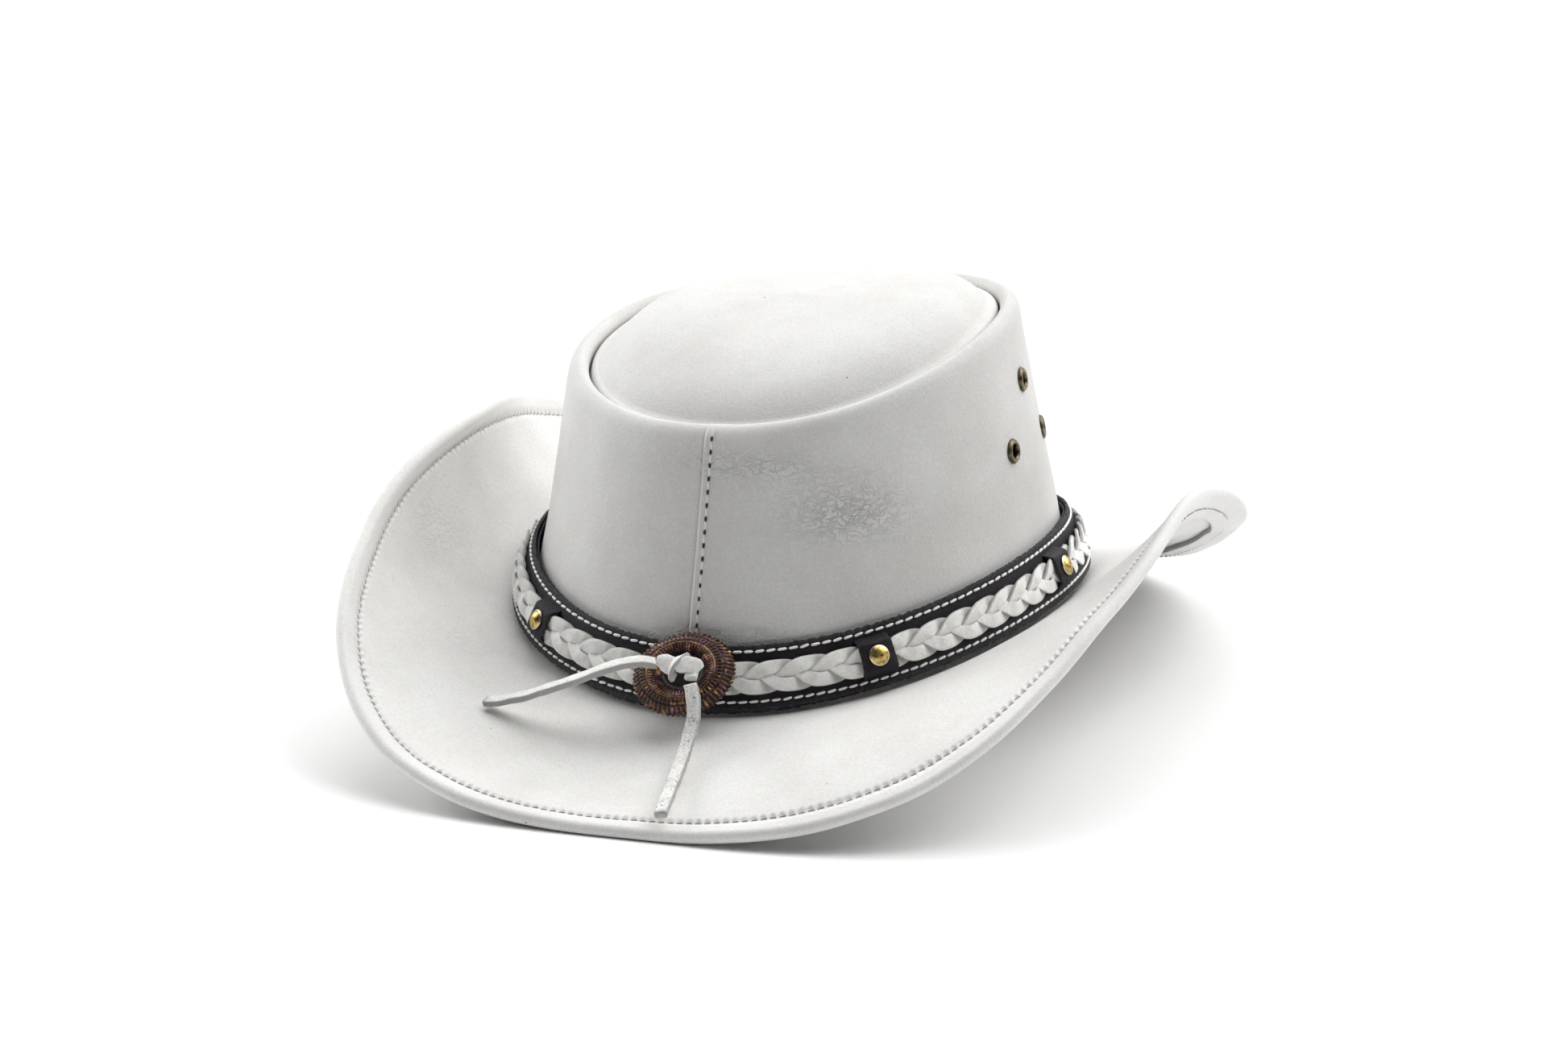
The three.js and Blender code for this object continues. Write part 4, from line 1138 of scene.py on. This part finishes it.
def make_braid():
    """Three flat laces plaited over and under along the middle of the strap."""
    angles = np.linspace(OPEN_AT + 5.5, OPEN_AT + 354.5, 1500)
    run = run_along(band_point(angles, BAND_HEIGHT / 2, STRAP_FACE + 2))
    rows = 1300
    along = np.linspace(0, run[-1], rows)
    angle = np.interp(along, run, angles)
    period = run[-1] / round(run[-1] / BRAID_PERIOD)
    turn = circle(26) + 0.1
    u, v = rounded(turn, 0.5)
    all_points, all_faces, edges, grooves = [], [], [], []
    for strand in range(3):
        phase = 2 * math.pi * (along / period + strand / 3)
        height = BRAID_SWING * (np.sin(phase) + 0.09 * np.sin(3 * phase))
        depth = 1.28 + BRAID_DEPTH * np.sin(2 * phase)
        centre = band_point(angle, BAND_HEIGHT / 2 + height, STRAP_FACE + depth)
        tangent = unit(np.gradient(centre, axis=0))
        across = unit(np.cross(crown_axes(angle, centre[:, 2])[2], tangent))
        face = np.cross(tangent, across)
        tilt = (0.30 * np.cos(phase) * np.cos(2 * phase))[:, None]
        across, face = (
            across * np.cos(tilt) + face * np.sin(tilt),
            face * np.cos(tilt) - across * np.sin(tilt),
        )
        wide = STRAND_WIDTH / 2 * (1 + 0.05 * waves(centre, 12, 70 + strand))
        thick = STRAND_THICK / 2 * (1 - 0.18 * u**4)
        points = rings(centre, across, face, u * wide[:, None], (v * thick)[None, :])
        points += 0.06 * waves(points, 2.6, 75 + strand)[..., None] * face[:, None]
        # Painted shade: darker where a strand dips under the others and along every strand's sides.
        under = smooth(-0.1, -0.9, np.sin(2 * phase))[:, None]
        all_points.append(points.reshape(-1, 3))
        all_faces += capped_faces(rows, len(turn), flip=True, offset=strand * rows * len(turn))
        edges.append(np.broadcast_to(0.85 * smooth(0.86, 1.0, np.abs(u)), points.shape[:2]))
        grooves.append(np.broadcast_to(0.72 * under, points.shape[:2]))
    values = {"edge": np.stack(edges), "groove": np.stack(grooves)}
    points = np.vstack(all_points)
    add_piece("braid", points, all_faces, "hatband", SUEDE, nodes=["band_braid"], values=values)


def make_keeper(number, angle):
    """A leather tab that bows over the braid and tucks into the strap at both ends."""
    axes, origin = band_frame(angle, 0)
    up = np.linspace(-KEEPER_REACH, KEEPER_REACH, 41)
    share = np.abs(up) / KEEPER_REACH
    bow = KEEPER_BOW * (1 - smooth(0.60, 1.0, share)) ** 0.9 - 0.25 * share**2
    bow = np.where(share > 0.985, -0.4, bow)
    slope = np.gradient(bow, up)
    shift = unit(np.column_stack([-slope, np.ones_like(slope)])) * KEEPER_LEATHER
    across = np.linspace(-1, 1, 21)
    x = across * mix(5.75, 5.25, (up + KEEPER_REACH) / (2 * KEEPER_REACH))[:, None]
    y = np.broadcast_to(up[:, None], x.shape)
    z = bow[:, None] + 0.35 * (1 - across**2) * (1 - share[:, None] ** 2)
    top = np.stack([x, y, z - 0.22 * np.abs(across) ** 8], -1)
    bottom = np.stack([x, y - shift[:, :1], z - shift[:, 1:]], -1)
    top += 0.07 * waves(top + 40 * number, 3.0, 90)[..., None] * np.array([0.6, 0.6, 1.0])
    placed = np.concatenate([top, bottom[:, ::-1]], 1) @ axes.T + origin
    rim = smooth(0.88, 1.0, np.abs(across))
    edge = np.concatenate([rim, np.maximum(rim[::-1], 0.2)])
    nodes, values = [f"band_keeper_{number}"], {"edge": np.broadcast_to(edge, placed.shape[:2])}
    add_tube(f"keeper_{number}", placed, "hatband", BLACK, closed_ring=False, nodes=nodes, values=values)


def make_rivet(number, angle):
    """A shank through the keeper and the band, with a domed and slightly dented head."""
    axes, origin = band_frame(angle, RIVET_OUT)
    rim = RIVET_RADIUS
    profile = [(0.001, -4.1), (1.2, -4.1), (1.2, -0.1), (2.9, -0.15), (rim, 0.1), (rim + 0.02, 0.3)]
    profile += [(rim - 0.15, 0.52), (rim - 0.45, 0.60)]
    profile += [(r, 0.62 + 1.0 * (1 - (r / 2.8) ** 2) ** 0.8) for r in (2.7, 2.3, 1.8, 1.2, 0.6, 0.001)]
    rings = lathe_points(profile, 40)
    domed = np.array([height >= 0.6 for _, height in profile])[:, None]
    rings[..., 2] += 0.014 * waves(rings + 17 * number, 1.9, 95) * domed
    placed = rings @ axes.T + origin
    worn = np.array([bump(radius, rim - 0.1, 0.28) * (height > 0) for radius, height in profile])
    nodes, values = [f"band_rivet_{number}"], {"edge": np.broadcast_to(worn[:, None], placed.shape[:2])}
    faces = capped_faces(*placed.shape[:2], flip=True)
    add_piece(f"rivet_{number}", placed.reshape(-1, 3), faces, "hatband", BRASS, nodes=nodes, values=values)


band_strip("strap", "band_strap", ply_section(0.4, BAND_HEIGHT, STRAP_IN, STRAP), 50)
band_strip("backing", "band_backing", ply_section(0, BAND_HEIGHT - 0.4, BACKING_IN, BACKING), 54)
make_rows()
make_braid()
for place, keeper_angle in enumerate(KEEPER_ANGLES, 1):
    make_keeper(place, keeper_angle)
    make_rivet(place, keeper_angle)

# ---- concho and knot


def concho_frame():
    """Axes and centre of the concho, which leans out at its foot over the band."""
    z = break_height(OPEN_AT) + CONCHO_HEIGHT
    along, up, out = crown_axes(OPEN_AT, z)
    origin = crown_point(OPEN_AT, z, CONCHO_OUT)
    tilted_up = up * cos(CONCHO_LEAN) + out * sin(CONCHO_LEAN)
    tilted_out = out * cos(CONCHO_LEAN) - up * sin(CONCHO_LEAN)
    return np.column_stack([along, tilted_up, tilted_out]), origin


def make_concho():
    """A pressed shell: recessed middle and a domed ring with three rows of radial beads."""
    axes, origin = concho_frame()
    columns = CONCHO_RIBS * 7
    turn = circle(columns)
    radius = np.concatenate([np.linspace(0.02, 6.2, 10), np.linspace(6.5, CONCHO_RADIUS, 60)])
    stations = (0, 5.6, 6.2, 7.2, 8.6, 10.6, 12.8, 14.4, 15.6, 16.1)
    heights = (1.7, 1.7, 1.75, 3.2, 4.4, 4.75, 4.1, 2.9, 1.5, 0.6)
    profile = np.interp(radius, stations, heights)
    beads = np.zeros((len(radius), columns))
    shade = np.zeros((len(radius), columns))
    bead_rows = ((7.2, 10.4, 0.12, 0.0, 0.45), (11.6, 13.4, 0.32, 0.5, 1.0), (13.7, 16.0, 0.38, 0.0, 1.0))
    for low, high, depth, shift, dark in bead_rows:
        inside = smooth(low - 0.15, low + 0.45, radius) * (1 - smooth(high - 0.45, high + 0.15, radius))
        rib = np.cos(CONCHO_RIBS * turn + math.pi * shift)
        beads += depth * inside[:, None] * rib[None, :]
        shade += inside[:, None] * (1 - smooth(-0.75, -0.1, rib))[None, :] * dark
    gaps = (bump(radius, 11.3, 0.22) + bump(radius, 13.55, 0.22))[:, None]
    height = profile[:, None] + beads - 0.32 * gaps
    scallop = 1 + 0.022 * smooth(14.5, CONCHO_RADIUS, radius)[:, None] * np.cos(CONCHO_RIBS * turn)[None, :]
    x = radius[:, None] * scallop * np.cos(turn)[None, :]
    y = radius[:, None] * scallop * np.sin(turn)[None, :] * CONCHO_FLAT
    c, s = cos(CONCHO_TURN), sin(CONCHO_TURN)
    front = np.stack([x * c - y * s, x * s + y * c, height], -1)
    back = front[::-1].copy()
    back[..., 2] = np.minimum(profile[::-1, None] - 1.1, height[::-1] - 0.5)
    back[0, :, 2] = front[-1, :, 2] - 0.5
    # Painted shade in the rib troughs, ring gaps, recess and all over the back, on top of the finish's dark
    # hollows; painted highlight along the ridge and the bead crests.
    recess = 1 - smooth(5.8, 7.6, radius)[:, None]
    groove = np.clip(shade * 0.85 + 0.7 * gaps + recess, 0, 1)
    crest = 0.8 * bump(radius, 10.6, 1.1)[:, None] + 0.5 * np.clip(beads / 0.2, 0, 1)
    values = {
        "groove": np.concatenate([groove, np.ones_like(groove)], 0),
        "edge": np.concatenate([crest, np.zeros_like(crest)], 0),
    }
    placed = (np.concatenate([front, back], 0) @ axes.T + origin).reshape(-1, 3)
    faces = capped_faces(2 * len(radius), columns)
    add_piece("concho_shell", placed, faces, "hatband", COPPER, nodes=["concho"], values=values)


def strap_sections(route, facing, width, thick, squared, taper):
    """Rings of a flat strip along a route; taper scales the width at each of its rows."""
    centre, _ = through(route, np.linspace(0, 1, len(taper)))
    tangent = unit(np.gradient(centre, axis=0))
    across = unit(np.cross(tangent, np.broadcast_to(np.asarray(facing, float), tangent.shape)))
    face = np.cross(across, tangent)
    u, v = rounded(circle(24) + 0.13, squared)
    points = rings(centre, across, face, u * width / 2 * taper[:, None], (v * thick / 2)[None, :])
    return points, np.broadcast_to(smooth(0.8, 0.97, np.abs(u)), points.shape[:2])


def make_knot():
    """The lace's overhand knot: a wedge from the side tail, a wrap over it, and a block on the right."""
    axes, origin = concho_frame()
    centre = np.array([0.3, 0.1, 5.5])
    wedge = [(-7.0, 0.9, 1.2), (-5.0, 0.7, 1.4), (-3.0, -0.2, 1.3), (-1.0, -0.6, 1.0)]
    wrap = [(-1.5, -3.4, -0.6), (-2.0, -2.6, 1.9), (-1.1, -0.4, 3.1)]
    wrap += [(0.3, 1.9, 2.7), (1.0, 3.1, 1.1), (0.9, 3.2, -0.8)]
    block = [(-0.4, -0.5, 1.9), (1.4, -0.1, 2.3), (3.4, 0.3, 2.2), (5.4, 0.2, 1.7), (6.2, -0.2, 0.7)]
    drop = [(4.6, -0.6, 1.0), (4.6, -2.4, 1.2), (4.7, -4.0, 1.6)]
    swell = np.interp(np.linspace(0, 1, 24), [0, 0.35, 0.8, 1], [0.75, 1.25, 1.35, 1.0])
    grow = np.interp(np.linspace(0, 1, 26), [0, 0.2, 0.85, 1], [0.8, 1.0, 1.0, 0.86])
    # Each part's last number is how strongly its sides are painted with shade.
    parts = (
        (*strap_sections(wedge, (0, -0.25, 1), 4.3, 3.0, 0.7, swell), 0.25),
        (*strap_sections(wrap, (-1.0, 0.35, 1.2), 3.3, 1.5, 0.5, np.ones(30)), 0.9),
        (*strap_sections(block, (0, -0.15, 1), 4.9, 3.1, 0.55, grow), 0.25),
        (*strap_sections(drop, (0, 0, 1), 3.9, 2.3, 0.5, np.ones(12)), 0.25),
    )
    points, faces, edges = [], [], []
    count = 0
    for index, (sections, side, darkness) in enumerate(parts):
        dents = 0.10 * waves(sections + 30 * index, 2.8, 99)[..., None] * np.array([0.4, 0.6, 1])
        faces += capped_faces(*side.shape, offset=count)
        points.append((sections + dents).reshape(-1, 3))
        edges.append((side * darkness).ravel())
        count += side.size
    placed = (np.vstack(points) + centre) @ axes.T + origin
    values = {"edge": np.concatenate(edges), "groove": np.zeros(count)}
    add_piece("knot", placed, faces, "hatband", SMOOTH_LACE, nodes=["lace_knot"], values=values)


make_concho()
make_knot()

# ---- floor and light


def add_stage():
    size = 12.0
    mesh = bpy.data.meshes.new("floor")
    corners = [(-size, -size, 0), (size, -size, 0), (size, size, 0), (-size, size, 0)]
    mesh.from_pydata(corners, [], [(0, 1, 2, 3)])
    floor = add_object("floor", mesh)
    floor.location = (0, 0, -0.0004)
    n = Nodes("pale floor")
    shade = n.blend(n.ramp(n.noise(3, 2), 0.3, 0.7), (0.93, 0.93, 0.93), (0.945, 0.945, 0.945))
    n.set(base_color=shade, roughness=0.9, specular_ior_level=0.1)
    mesh.materials.append(n.material)


def add_sun(name, direction, strength, spread):
    data = bpy.data.lights.new(name, "SUN")
    data.energy = strength
    data.angle = math.radians(spread)
    add_object(name, data).rotation_euler = Vector(direction).to_track_quat("Z", "Y").to_euler()


SUNS = (  # name, direction it shines from, strength, spread
    ("overhead", (0.0, 0.42, 0.95), 1.85, 55),
    ("left", (-0.9, 0.2, 0.4), 1.75, 34),
    ("left_high", (-0.6, 0.15, 0.8), 0.5, 40),
    ("right", (0.6, 0.2, 0.8), 1.12, 40),
    ("right_back", (0.6, 0.6, 0.55), 0.85, 40),
    ("back", (0.0, 0.9, 0.45), 0.5, 40),
)


def add_lights():
    world = bpy.data.worlds.new("studio")
    world.use_nodes = True
    background = world.node_tree.nodes["Background"]
    background.inputs[0].default_value = (1, 1, 1, 1)
    background.inputs[1].default_value = 0.04
    bpy.context.scene.world = world
    for sun in SUNS:
        add_sun(*sun)
    bpy.context.scene.view_settings.view_transform = "Standard"


add_stage()
add_lights()
